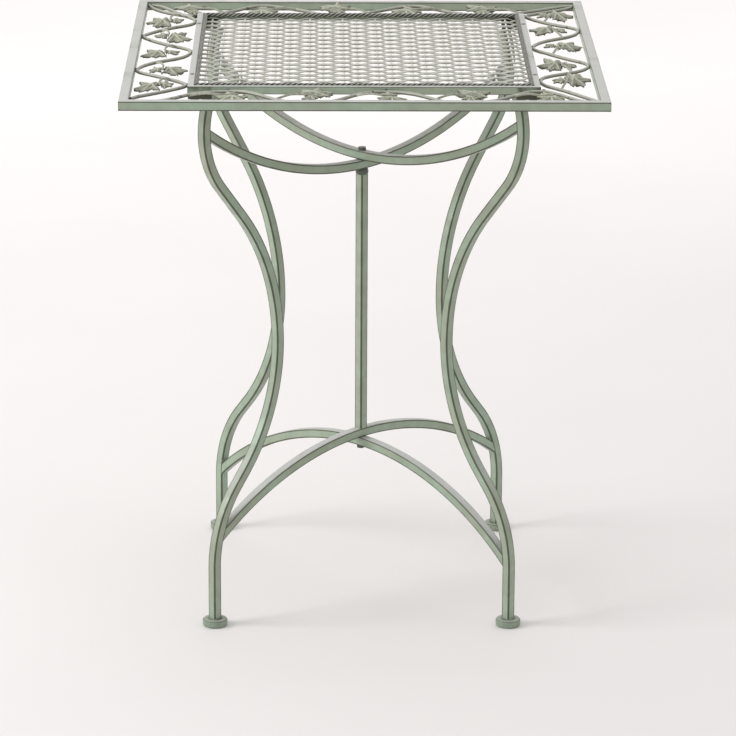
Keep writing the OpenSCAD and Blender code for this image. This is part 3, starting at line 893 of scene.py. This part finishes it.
# Where a side's vine touches the inner and outer rails in turn, and ends, from the side's own corner
FRONT_TOUCHES = (0.132, 0.231, 0.327, 0.426, 0.522, 0.583)
VINE_TOUCHES = {
    "front": FRONT_TOUCHES,
    "right": (0.138, 0.220, 0.330, 0.429, 0.522, 0.583),
    "back": FRONT_TOUCHES,
    "left": (0.114, 0.207, 0.303, 0.404, 0.490, 0.566),
}


def vine_knots(side):
    """Where a side's vine starts, touches the inner and outer rails in turn, and ends."""
    outer = WIRE_LOW.y + HALF_TOP + 2.25 * MM
    inner = WIRE_HIGH.y + HALF_TOP - 2.25 * MM
    return [(s, inner if i % 2 else outer) for i, s in enumerate((BAR, *VINE_TOUCHES[side]))]


def vine_point(knots, s):
    """The vine's distance from the top's edge at distance s from the corner."""
    for (s0, t0), (s1, t1) in zip(knots, knots[1:]):
        if s <= s1:
            f = (s - s0) / (s1 - s0)
            return t0 + (t1 - t0) * (1 - math.cos(math.pi * f)) / 2
    return knots[-1][1]


def side_place(k):
    """From a side's own corner, x along the edge and y inwards, to the table."""
    return quarter_turn(k) @ Matrix.Translation((-HALF_TOP, -HALF_TOP, 0))


def make_vine_scrolls(context):
    """One waved wire in each side of the border, with welds where it touches the rails."""
    sizes = context.scene.bistro_vine
    z = (WIRE_LOW.z + WIRE_HIGH.z) / 2 + 0.5 * MM
    wire_tree, bead_tree = round_wire_tree(), weld_bead_tree()
    for k, side in enumerate(SIDES):
        knots = vine_knots(side)
        first, last = knots[0][0], knots[-1][0]
        path = []
        for n in range(241):
            s = first + (last - first) * n / 240
            path.append((s, vine_point(knots, s), z + 0.6 * MM * math.sin(9 * s / 0.1)))
        welds = []
        for i, (s, t) in enumerate(knots):
            out = 1 if i % 2 else -1
            welds.append((s, t + out * 2 * MM, z))
        wire = grow(f"vine_scroll_{side}", path, wire_tree,
                    {"Diameter": sizes.wire, "Step": 2.2 * MM, "Hammering": 0.5 * MM,
                     "Material": finish_named("Vine wire paint")})
        settle(place(wire, side_place(k)), "painted_iron", f"vine_wire_{side}")
        beads = grow(f"vine_welds_{side}", welds, bead_tree,
                     {"Radius": 3.3 * MM, "Roughness": 0.5, "Seed": k,
                      "Material": finish_named("Burnt weld metal")}, chained=False)
        settle(place(beads, side_place(k)), "painted_iron")


# How far a leaf cluster lies past its touch along the side, and from the top's edge into the bend
LEAF_SHIFT = 6 * MM
LEAF_POCKET = 47 * MM

# Direction of each lobe from the leaf's middle in degrees, and its reach as a share of the middle lobe
LEAF_LOBES = ((0, 1.0), (52, 0.92), (-52, 0.92), (108, 0.74), (-108, 0.74))


def leaf_form(long, wide, thick, rng):
    """Points, faces, vein and rim marks of a lobed leaf that points along +x from its base."""
    around, rings = 130, 9
    lobes = [(a + rng.uniform(-6, 6), r * rng.uniform(0.9, 1.08)) for a, r in LEAF_LOBES]
    waves = [rng.uniform(0, 6.28) for _ in range(3)]
    outline, gaps = [], []
    for n in range(around):
        angle = 360 * n / around - 180
        best, gap = 0.34, 180.0
        for lobe, reach in lobes:
            off = (angle - lobe + 180) % 360 - 180
            best = max(best, reach * (0.52 + 0.48 * math.exp(-(off / 21) ** 2)))
            gap = off if abs(off) < abs(gap) else gap
        if abs(angle) > 138:
            best *= 1 - 0.6 * (abs(angle) - 138) / 42
        teeth = 1 + 0.085 * (2 * abs((n * 0.2 + 0.05 * waves[0]) % 1 - 0.5) - 0.5) + 0.02 * math.sin(n * 1.9)
        outline.append(best * teeth)
        gaps.append(gap)
    angles = [2 * math.pi * n / around - math.pi for n in range(around)]
    xs = [r * math.cos(a) for r, a in zip(outline, angles)]
    ys = [r * math.sin(a) for r, a in zip(outline, angles)]
    scale_x, scale_y = long / (max(xs) - min(xs)), wide / (max(ys) - min(ys))
    verts, veins, rims = [], [], []
    for layer in (0, 1):
        for ring in range(1, rings + 1):
            t = (ring / rings) ** 0.8
            for n, a in enumerate(angles):
                r = outline[n] * t
                across = abs(r * math.sin(math.radians(max(-90, min(90, gaps[n])))))
                ridge = math.exp(-(across / 0.07) ** 2) * (1.15 - t)
                side = math.exp(-((across - 0.17) / 0.05) ** 2) * t
                z = 0.075 * ridge - 0.3 * across * t + 0.02 * side + 0.04 * math.sin(3 * a + waves[1]) * t * t
                z += 0.02 * math.sin(14 * a + waves[2]) * t ** 3 - 0.05 * r * r
                x, y = r * math.cos(a) - min(xs), r * math.sin(a)
                verts.append(Vector((x * scale_x, y * scale_y, z * long - layer * thick)))
                veins.append((math.exp(-(across / 0.045) ** 2) + 0.35 * side) * (1 - layer))
                rims.append(t ** 6 + 0.5 * math.exp(-((across - 0.3) / 0.08) ** 2) * t)
    half = len(verts) // 2
    faces = [tuple(reversed(f)) for f in strip_faces(rings, around)]
    faces += strip_faces(rings, around, first=half)
    outer = (rings - 1) * around
    for n in range(around):
        m = (n + 1) % around
        faces.append((outer + n, outer + half + n, outer + half + m, outer + m))
    for layer in (0, 1):
        centre = len(verts)
        verts.append(Vector((-min(xs) * scale_x, 0, 0.08 * long - layer * thick)))
        veins.append(1.0)
        rims.append(0.0)
        for n in range(around):
            a, b = layer * half + n, layer * half + (n + 1) % around
            faces.append((a, b, centre) if layer == 0 else (b, a, centre))
    return verts, faces, veins, rims


def stem_form(points, thick):
    """A tapered round stem through a few points, smoothed between them."""
    fine = []
    for i in range(len(points) - 1):
        before = points[max(i - 1, 0)]
        after = points[min(i + 2, len(points) - 1)]
        for k in range(6):
            f = k / 6
            a, b = points[i], points[i + 1]
            fine.append(0.5 * ((2 * a) + (b - before) * f + (2 * before - 5 * a + 4 * b - after) * f ** 2
                               + (3 * a - before - 3 * b + after) * f ** 3))
    fine.append(points[-1])
    sides = 8
    verts = []
    for i, p in enumerate(fine):
        run = (fine[min(i + 1, len(fine) - 1)] - fine[max(i - 1, 0)]).normalized()
        side = run.cross(Vector((0, 0, 1))).normalized()
        up = side.cross(run)
        radius = thick / 2 * (1.15 - 0.35 * i / len(fine))
        for n in range(sides):
            a = 2 * math.pi * n / sides
            verts.append(p + radius * (math.cos(a) * side + math.sin(a) * up))
    faces = strip_faces(len(fine), sides)
    faces.append(tuple(reversed(range(sides))))
    faces.append(tuple(range((len(fine) - 1) * sides, len(fine) * sides)))
    return verts, faces


def make_vine_leaves(context):
    """In each bend of the vine, a large leaf that points away from it, a small one and their stem."""
    sizes = context.scene.bistro_vine
    rng = random.Random(sizes.seed)
    for k, side in enumerate(SIDES):
        knots = vine_knots(side)
        outer, inner = knots[0][1], knots[1][1]
        verts, faces, veins, rims = [], [], [], []

        def add(form, matrix, vein=None, rim=None):
            base = len(verts)
            verts.extend(matrix @ v for v in form[0])
            faces.extend(tuple(base + i for i in f) for f in form[1])
            veins.extend(vein or [0.35] * len(form[0]))
            rims.extend(rim or [0.0] * len(form[0]))

        for i in range(1, len(knots) - 1):
            span = knots[i][0] - knots[i - 1][0]
            away = 1 if i % 2 else -1
            depth = LEAF_POCKET if i % 2 else outer + inner - LEAF_POCKET
            junction = Vector((knots[i][0] + LEAF_SHIFT, depth, LEAF_Z + MM))
            start_s = knots[i][0] - 0.4 * span
            start = Vector((start_s, vine_point(knots, start_s), LEAF_Z - 1.5 * MM))
            reach = start - junction
            stem = [start, junction + Vector((0.62 * reach.x, 0.3 * reach.y, 1.5 * MM)),
                    junction + Vector((0.3 * reach.x, -away * MM, MM)), junction + Vector((4 * MM, 0, 0))]
            add(stem_form(stem, sizes.stem), Matrix.Identity(4))
            large = (sizes.leaf_length, sizes.leaf_width, -86, 5)
            small = (sizes.bud_length, sizes.bud_length, 112, 7)
            for long, wide, heading, lean in (large, small):
                turn = math.radians(away * heading + rng.uniform(-8, 8))
                droop = Matrix.Rotation(math.radians(rng.uniform(-2, lean)), 4, "Y")
                roll = Matrix.Rotation(math.radians(rng.uniform(-lean, lean)), 4, "X")
                to_front = quarter_turn(-k) @ Vector((1, 0, 0))
                facing = Matrix.Rotation(math.radians(rng.uniform(3, 8)), 4, to_front)
                form = leaf_form(long, wide, sizes.leaf_thickness, rng)
                at = Matrix.Translation(junction) @ facing @ Matrix.Rotation(turn, 4, "Z") @ droop @ roll
                add(form[:2], at, form[2], form[3])
        leaves = mesh_piece(f"vine_foliage_{side}", verts, faces, finish_named("Stamped leaf paint"),
                            {"vein": veins, "rim": rims})
        face_out(leaves)
        settle(place(leaves, side_place(k)), "leaf_metal", f"vine_leaves_{side}")


# ---------------------------------------------------------------- legs and feet

def arc(centre, radius, start, end, steps):
    """Points of an arc in the (reach, height) plane, angles in degrees."""
    angles = [math.radians(start + (end - start) * i / steps) for i in range(steps + 1)]
    return [Vector((centre.x + radius * math.cos(a), centre.y + radius * math.sin(a))) for a in angles]


def tangent_angle(c1, r1, c2, r2, side):
    """Direction in which two circles that bend opposite ways share a tangent, in degrees."""
    between = c2 - c1
    swing = math.degrees(math.acos((r1 + r2) / between.length))
    return (math.degrees(math.atan2(between.y, between.x)) + side * swing) % 360


def leg_line(sizes, top):
    """Middle line of a leg from the foot up to the given height, as (reach, height)."""
    foot = Vector((FOOT_REACH - sizes.foot_bend, sizes.foot_straight))
    low = Vector((sizes.waist_reach + sizes.low_bend, sizes.waist_height))
    high = Vector((sizes.waist_reach + sizes.high_bend, sizes.waist_height))
    shoulder = Vector((sizes.shoulder_reach - sizes.shoulder_bend, sizes.shoulder_height))
    low_turn = tangent_angle(low, sizes.low_bend, foot, sizes.foot_bend, -1)
    high_turn = tangent_angle(high, sizes.high_bend, shoulder, sizes.shoulder_bend, 1)
    end = math.degrees(math.asin(min(1, (top - shoulder.y) / sizes.shoulder_bend)))
    line = [Vector((FOOT_REACH, FOOT_HIGH.z - MM))]
    line += arc(foot, sizes.foot_bend, 0, low_turn - 180, 28)
    line += arc(low, sizes.low_bend, low_turn, 180, 36)[1:]
    line += arc(high, sizes.high_bend, 180, high_turn, 26)[1:]
    line += arc(shoulder, sizes.shoulder_bend, high_turn - 180, end, 26)
    return line


def upright(points):
    """A line in the (reach, height) plane, stood up in the XZ plane."""
    return [(p.x, 0, p.y) for p in points]


def foot_form(turn_steps=6):
    """A turned disc with softened rims and a slightly crowned top."""
    radius = (FOOT_HIGH.x - FOOT_LOW.x) / 2
    height = FOOT_HIGH.z
    soft = 2.5 * MM
    profile = [(radius * 0.3, 0.4 * MM, 0, 0), (radius * 0.7, 0, 0, 1)]
    for k in range(turn_steps + 1):
        a = math.radians(-90 + 90 * k / turn_steps)
        profile.append((radius - soft + soft * math.cos(a), soft + soft * math.sin(a), 0, 1 - k / turn_steps))
    for k in range(turn_steps + 1):
        a = math.radians(90 * k / turn_steps)
        mark = 1 - abs(2 * k / turn_steps - 1)
        profile.append((radius - soft + soft * math.cos(a), height - soft + soft * math.sin(a), 0, mark))
    profile += [(radius * 0.72, height, 0, 0), (radius * 0.62, height, 0, 0.8), (radius * 0.25, height, 0, 1)]
    return lathe(profile, 56)


def make_legs(context):
    """Four S-curved legs in the diagonal planes, each on a turned foot."""
    sizes = context.scene.bistro_legs
    tree = bent_bar_tree()
    paint = finish_named("Sage paint with waxed edges")
    line = upright(leg_line(sizes, LEG_TOP + BAR))
    for corner, angle in CORNERS.items():
        leg = grow(f"curved_leg_{corner}", line, tree,
                   {"Side": BAR, "Edge Round": context.scene.bistro_top.edge_round,
                    "Plane Turn": math.radians(angle), "Material": paint})
        cut(leg, (0, 0, LEG_TOP), (0, 0, 1))
        settle(leg, "painted_iron", f"leg_{corner}")
        spot = turned(angle) @ Matrix.Translation((FOOT_REACH, 0, 0))
        foot = joined(f"turned_foot_{corner}", [(foot_form(), spot)], finish_named("Waxed foot paint darkened as painted shade"))
        settle(foot, "painted_iron", f"foot_{corner}")


# ---------------------------------------------------------------- bars that tie the legs

def nearest(line, p):
    """The point of a line of points that is nearest to p."""
    spots = []
    for a, b in zip(line, line[1:]):
        f = max(0, min(1, (p - a).dot(b - a) / (b - a).length_squared))
        spots.append(a + (b - a) * f)
    return min(spots, key=lambda spot: (spot - p).length)


def tie_line(legs, middle, bend, sags):
    """Middle line of a tie bar from one leg's own middle line to the other's."""
    up = 1 if sags else -1
    centre = Vector((0, middle + up * bend))
    leg = leg_line(legs, LEG_TOP)

    def at(a):
        return centre + bend * Vector((math.sin(a), -up * math.cos(a)))

    reach = 0.0
    while (nearest(leg, at(reach)) - at(reach)).length > 1.5 * MM:
        reach += 0.0005
    steps = 64
    return [at(reach * (2 * i / steps - 1)) for i in range(steps + 1)]


def leg_face(legs, line):
    """Where a tie bar's right-hand end meets the leg's inner face, and that face's outward direction."""
    leg = leg_line(legs, LEG_TOP)
    touch = next(p for p in reversed(line) if (nearest(leg, p) - p).length > BAR / 2)
    foot = nearest(leg, touch)
    out = (touch - foot).normalized()
    return foot + out * (BAR / 2 - 0.25 * MM), out


def tie_bars(context):
    """Name, node, plane and middle line of each of the four tie bars."""
    sizes, legs = context.scene.bistro_ties, context.scene.bistro_legs
    upper_sag = sizes.sag_height + BAR + sizes.gap
    lower_arch = sizes.arch_height - BAR - sizes.gap
    bars = (
        ("sagging_bar_lower", "crossbar_lower", 45, sizes.sag_height, sizes.sag_bend, True),
        ("sagging_bar_upper", "crossbar_upper", 135, upper_sag, sizes.sag_bend, True),
        ("arched_bar_upper", "stretcher_upper", 45, sizes.arch_height, sizes.arch_bend, False),
        ("arched_bar_lower", "stretcher_lower", 135, lower_arch, sizes.under_bend, False),
    )
    return [(name, node, plane, tie_line(legs, *shape)) for name, node, plane, *shape in bars]


def make_tie_bars(context):
    """Two sagging crossbars, two arched stretchers and the middle post."""
    tree = bent_bar_tree()
    paint = finish_named("Sage paint with waxed edges")
    settings = {"Side": BAR, "Edge Round": context.scene.bistro_top.edge_round, "Material": paint}
    for name, node, plane, line in tie_bars(context):
        bar = grow(name, upright(line), tree, settings)
        point, out = leg_face(context.scene.bistro_legs, line)
        for end in (1, -1):
            cut(bar, (end * point.x, 0, point.y), (-end * out.x, 0, -out.y))
        settle(place(bar, turned(plane)), "painted_iron", node)
    steps = 24
    low, high = POST_LOW.z - 0.3 * MM, POST_HIGH.z
    line = [(0, 0, low + (high - low) * i / steps) for i in range(steps + 1)]
    post = grow("middle_post", line, tree, {**settings, "Plane Turn": math.radians(45)})
    settle(post, "painted_iron", "centre_post")


def make_tie_welds(context):
    """A row of weld beads above and below each end of a tie bar, and round each leg on its foot."""
    spots = []
    for _, _, plane, line in tie_bars(context):
        point, out = leg_face(context.scene.bistro_legs, line)
        near = min(line, key=lambda p: (p - point).length)
        run = (line[-1] - near).normalized()
        along = Vector((-out.y, out.x))
        half = BAR / 2 / abs(run.dot(out))
        for end in (0, 180):
            for side in (-1, 1):
                edge = point + along * side * half
                for n in range(7):
                    y = BAR * (n / 6 - 0.5) * 0.8
                    spots.append(turned(plane + end) @ Vector((edge.x, y, edge.y)))
    for angle in CORNERS.values():
        for n in range(20):
            a = 2 * math.pi * n / 20
            rim = BAR / 2 / max(abs(math.cos(a)), abs(math.sin(a)))
            ring = Vector((FOOT_REACH + rim * math.cos(a), rim * math.sin(a), FOOT_HIGH.z))
            spots.append(turned(angle) @ ring)
    beads = grow("weld_beads", spots, weld_bead_tree(),
                 {"Radius": 1.3 * MM, "Roughness": 0.5, "Seed": 11,
                  "Material": finish_named("Sage paint over welds with painted shade")}, chained=False)
    settle(beads, "painted_iron")


# ---------------------------------------------------------------- mountings and bolts

# Where a leg bolt stands from each middle line, the bore that it goes through and a bolt head's height
BOLT_REACH = 209.5 * MM
BOLT_BORE = 6.4 * MM
BOLT_HEAD = 4 * MM


def plate_form(width, thick, bore, hole):
    """A square plate with soft corners and a drilled hole; its middle is at the origin."""
    half = width / 2
    corners = [(half, half), (-half, half), (-half, -half), (half, -half)]
    outline, _ = rounded_outline(corners, 1.6 * MM, 5)
    inset, _ = rounded_outline([(0.97 * x, 0.97 * y) for x, y in corners], 1.4 * MM, 5)
    count = len(outline)
    soft = 0.5 * MM
    rings = []
    for radius, z in ((bore / 2, 0), (bore / 2, thick)):
        ring = []
        for p in outline:
            a = math.atan2(p.y - hole[1], p.x - hole[0])
            ring.append(Vector((hole[0] + radius * math.cos(a), hole[1] + radius * math.sin(a), z)))
        rings.append(ring)
    rings.append([Vector((p.x, p.y, thick)) for p in inset])
    rings.append([Vector((p.x, p.y, thick - soft)) for p in outline])
    rings.append([Vector((p.x, p.y, soft)) for p in outline])
    rings.append([Vector((p.x, p.y, 0)) for p in inset])
    rings.append(rings[0])
    verts = [v for ring in rings[:-1] for v in ring]
    faces = []
    for r in range(6):
        for i in range(count):
            j = (i + 1) % count
            a, b = r * count, ((r + 1) % 6) * count
            faces.append((a + i, a + j, b + j, b + i))
    return verts, faces, [0.2] * (3 * count) + [1.0] * (3 * count)


def bolt_form(shank_length, shank=6 * MM, flats=10 * MM, head=BOLT_HEAD):
    """A hexagon bolt with a chamfered head below the origin and its shank along +z."""
    half = flats / 2
    profile = [(half * 0.3, -head, 0, 0), (half * 0.9, -head, 0, 1), (half, -head + 0.5 * MM, 0.75, 1),
               (half, -head + 0.9 * MM, 1, 0), (half, -0.7 * MM, 1, 0), (half, -0.4 * MM, 0.9, 1),
               (half * 0.98, -0.3 * MM, 0, 1), (half * 0.98, 0, 0, 0), (shank / 2, 0, 0, 0),
               (shank / 2, shank_length - 0.8 * MM, 0, 0), (shank / 2 - 0.7 * MM, shank_length, 0, 1)]
    return lathe(profile)


def make_mountings(context):
    """Lugs under the panel frame's corners, the legs' plates and the bolts through both."""
    paint = finish_named("Waxed plate paint darkened as painted shade")
    bolts = []
    for corner in CORNERS:
        for prefix, node in (("frame_lug_", "corner_lug_"), ("leg_plate_pressed_", "leg_plate_")):
            low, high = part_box(node + corner)
            middle = (low + high) / 2
            bolt = Vector((math.copysign(BOLT_REACH, middle.x), math.copysign(BOLT_REACH, middle.y), 0))
            off_middle = (bolt.x - middle.x, bolt.y - middle.y)
            form = plate_form(high.x - low.x, high.z - low.z, BOLT_BORE, off_middle)
            plate = joined(prefix + corner, [(form, Matrix.Translation((middle.x, middle.y, low.z)))], paint)
            face_out(plate)
            settle(plate, "painted_iron", node + corner)
        bolts.append((bolt_form(6.5 * MM), Matrix.Translation((bolt.x, bolt.y, LEG_TOP))))
    settle(joined("leg_bolts", bolts, finish_named("Dark iron fixings")), "fixings", "top_bolts")


def make_pivot(context):
    """The collar on the post and the two bolts on which the frames were folded flat for shipping."""
    dark = finish_named("Dark iron fixings")
    low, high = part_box("post_collar")
    outer, bore, soft = (high.x - low.x) / 2, 3.2 * MM, 2 * MM
    middle = (low.z + high.z) / 2
    half = (high.z - low.z) / 2
    profile = []
    for k in range(9):
        a = math.pi * (k / 8 - 0.5)
        mark = abs(k / 4 - 1)
        profile.append((outer - soft + soft * math.cos(a), middle + half * math.sin(a), 0, mark))
    profile = [(bore, low.z, 0, 1)] + profile + [(bore, high.z, 0, 1)]
    collar = joined("ring_collar", [(lathe(profile, 40), Matrix.Identity(4))], dark)
    settle(collar, "fixings", "post_collar")
    for name, node, over in (("pivot_bolt_upper", "upper_pivot_bolt", True),
                             ("pivot_bolt_lower", "lower_pivot_bolt", False)):
        low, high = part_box(node)
        form = bolt_form(high.z - low.z - BOLT_HEAD)
        seat = high.z - BOLT_HEAD if over else low.z + BOLT_HEAD
        flip = Matrix.Rotation(math.pi, 4, "X") if over else Matrix.Identity(4)
        bolt = joined(name, [(form, Matrix.Translation((0, 0, seat)) @ flip)], dark)
        settle(bolt, "fixings", node)


# ---------------------------------------------------------------- studio

def area_light(name, place_at, target, size, power):
    lamp = bpy.data.lights.new(name, "AREA")
    lamp.shape = "RECTANGLE"
    lamp.size, lamp.size_y = size
    lamp.energy = power
    light = link(bpy.data.objects.new(name, lamp))
    light.location = place_at
    light.rotation_euler = (Vector(target) - light.location).to_track_quat("-Z", "Y").to_euler()


def make_studio(context):
    """Camera, paper sweep, soft lights and an even white surround."""
    scene, studio = context.scene, context.scene.bistro_studio
    camera = link(bpy.data.objects.new("studio_camera", bpy.data.cameras.new("studio_camera")))
    camera.data.lens = studio.lens
    camera.data.sensor_width = 36
    camera.data.clip_end = 60
    look = (Matrix.Rotation(-studio.camera_turn, 4, "Z")
            @ Matrix.Rotation(math.pi / 2 - studio.camera_tilt, 4, "X")
            @ Matrix.Rotation(studio.camera_roll, 4, "Z"))
    camera.matrix_world = Matrix.Translation(studio.camera_place) @ look
    scene.camera = camera
    scene.view_settings.view_transform = "Standard"

    radius, front, bend, wall, half_width, steps = 1.6, -8.0, 6.4, 4.2, 8.0, 24
    sweep = [(y, 0.0) for y in (front, -2.0, 0.0, bend)]
    for n in range(1, steps + 1):
        a = math.pi / 2 * n / steps
        sweep.append((bend + radius * math.sin(a), radius * (1 - math.cos(a))))
    sweep.append((bend + radius, wall))
    verts = [Vector((x, y, z)) for y, z in sweep for x in (-half_width, half_width)]
    faces = [(2 * i, 2 * i + 1, 2 * i + 3, 2 * i + 2) for i in range(len(sweep) - 1)]
    paper = mesh_piece("paper_sweep", verts, faces, finish_named("Studio paper"))

    area_light("key_softbox", (-3.5, -0.8, 2.3), (0, 0, 0.45), (1.8, 1.8), studio.key)
    area_light("top_softbox", (0.2, 0.5, 3.2), (0, 0, 0.7), (2.0, 1.6), studio.top)
    area_light("wall_softbox", (0.0, 3.1, 2.3), (0, 3.7, 0.4), (5.0, 0.8), studio.wall)
    world = bpy.data.worlds.new("even_surround")
    world.use_nodes = True
    world.node_tree.nodes["Background"].inputs["Color"].default_value = (1, 1, 1, 1)
    world.node_tree.nodes["Background"].inputs["Strength"].default_value = studio.sky
    scene.world = world


# ---------------------------------------------------------------- operators and panel

class BISTRO_OT_studio(bpy.types.Operator):
    """Set up the camera, paper sweep and lights"""
    bl_idname = "bistro.studio"
    bl_label = "Studio"

    def execute(self, context):
        make_studio(context)
        return {"FINISHED"}


class BISTRO_OT_border_frame(bpy.types.Operator):
    """Build the four outer rails of the top"""
    bl_idname = "bistro.border_frame"
    bl_label = "Border Frame"

    def execute(self, context):
        make_border_frame(context)
        return {"FINISHED"}


class BISTRO_OT_panel_frame(bpy.types.Operator):
    """Build the angle frame round the woven panel and its rivets"""
    bl_idname = "bistro.panel_frame"
    bl_label = "Panel Frame"

    def execute(self, context):
        make_panel_frame(context)
        return {"FINISHED"}


class BISTRO_OT_twisted_edging(bpy.types.Operator):
    """Build the twisted bars that edge the woven panel"""
    bl_idname = "bistro.twisted_edging"
    bl_label = "Twisted Edging"

    def execute(self, context):
        make_twisted_edging(context)
        return {"FINISHED"}


class BISTRO_OT_woven_panel(bpy.types.Operator):
    """Weave the crossbands and rods of the panel"""
    bl_idname = "bistro.woven_panel"
    bl_label = "Woven Panel"

    def execute(self, context):
        make_woven_panel(context)
        return {"FINISHED"}


class BISTRO_OT_vine_scrolls(bpy.types.Operator):
    """Bend and weld the vine wires in the border"""
    bl_idname = "bistro.vine_scrolls"
    bl_label = "Vine Scrolls"

    def execute(self, context):
        make_vine_scrolls(context)
        return {"FINISHED"}


class BISTRO_OT_vine_leaves(bpy.types.Operator):
    """Shape the leaves and stems of the vine"""
    bl_idname = "bistro.vine_leaves"
    bl_label = "Vine Leaves"

    def execute(self, context):
        make_vine_leaves(context)
        return {"FINISHED"}


class BISTRO_OT_legs(bpy.types.Operator):
    """Bend the four legs and set them on their feet"""
    bl_idname = "bistro.legs"
    bl_label = "Legs and Feet"

    def execute(self, context):
        make_legs(context)
        return {"FINISHED"}


class BISTRO_OT_tie_bars(bpy.types.Operator):
    """Build the crossbars, stretchers and middle post"""
    bl_idname = "bistro.tie_bars"
    bl_label = "Tie Bars and Post"

    def execute(self, context):
        make_tie_bars(context)
        make_tie_welds(context)
        return {"FINISHED"}


class BISTRO_OT_mountings(bpy.types.Operator):
    """Build the lugs, plates and bolts that hold the legs to the top"""
    bl_idname = "bistro.mountings"
    bl_label = "Leg Mountings"

    def execute(self, context):
        make_mountings(context)
        return {"FINISHED"}


class BISTRO_OT_pivot(bpy.types.Operator):
    """Build the collar and the pivot bolts in the middle of the base"""
    bl_idname = "bistro.pivot"
    bl_label = "Collar and Pivot Bolts"

    def execute(self, context):
        make_pivot(context)
        return {"FINISHED"}


OPERATORS = (BISTRO_OT_studio, BISTRO_OT_border_frame, BISTRO_OT_panel_frame, BISTRO_OT_twisted_edging,
             BISTRO_OT_woven_panel, BISTRO_OT_vine_scrolls, BISTRO_OT_vine_leaves, BISTRO_OT_legs,
             BISTRO_OT_tie_bars, BISTRO_OT_mountings, BISTRO_OT_pivot)


class BISTRO_PT_panel(bpy.types.Panel):
    """Lists the steps that build the table"""
    bl_idname = "BISTRO_PT_panel"
    bl_label = "Bistro Table"
    bl_space_type = "VIEW_3D"
    bl_region_type = "UI"
    bl_category = "Bistro Table"

    def draw(self, context):
        for step in OPERATORS:
            self.layout.operator(step.bl_idname)


SETTINGS = {"bistro_top": TopSizes, "bistro_weave": WeaveSizes, "bistro_vine": VineSizes,
            "bistro_legs": LegSizes, "bistro_ties": TieSizes, "bistro_finishes": Finishes,
            "bistro_studio": StudioSettings}


def register():
    for made in (*SETTINGS.values(), *OPERATORS, BISTRO_PT_panel):
        bpy.utils.register_class(made)
    for name, made in SETTINGS.items():
        setattr(bpy.types.Scene, name, PointerProperty(type=made))


def unregister():
    for name in SETTINGS:
        delattr(bpy.types.Scene, name)
    for made in (BISTRO_PT_panel, *reversed(OPERATORS), *reversed(SETTINGS.values())):
        bpy.utils.unregister_class(made)


def main():
    register()
    for step in OPERATORS:
        family, name = step.bl_idname.split(".")
        getattr(getattr(bpy.ops, family), name)()


if __name__ == "__main__":
    main()
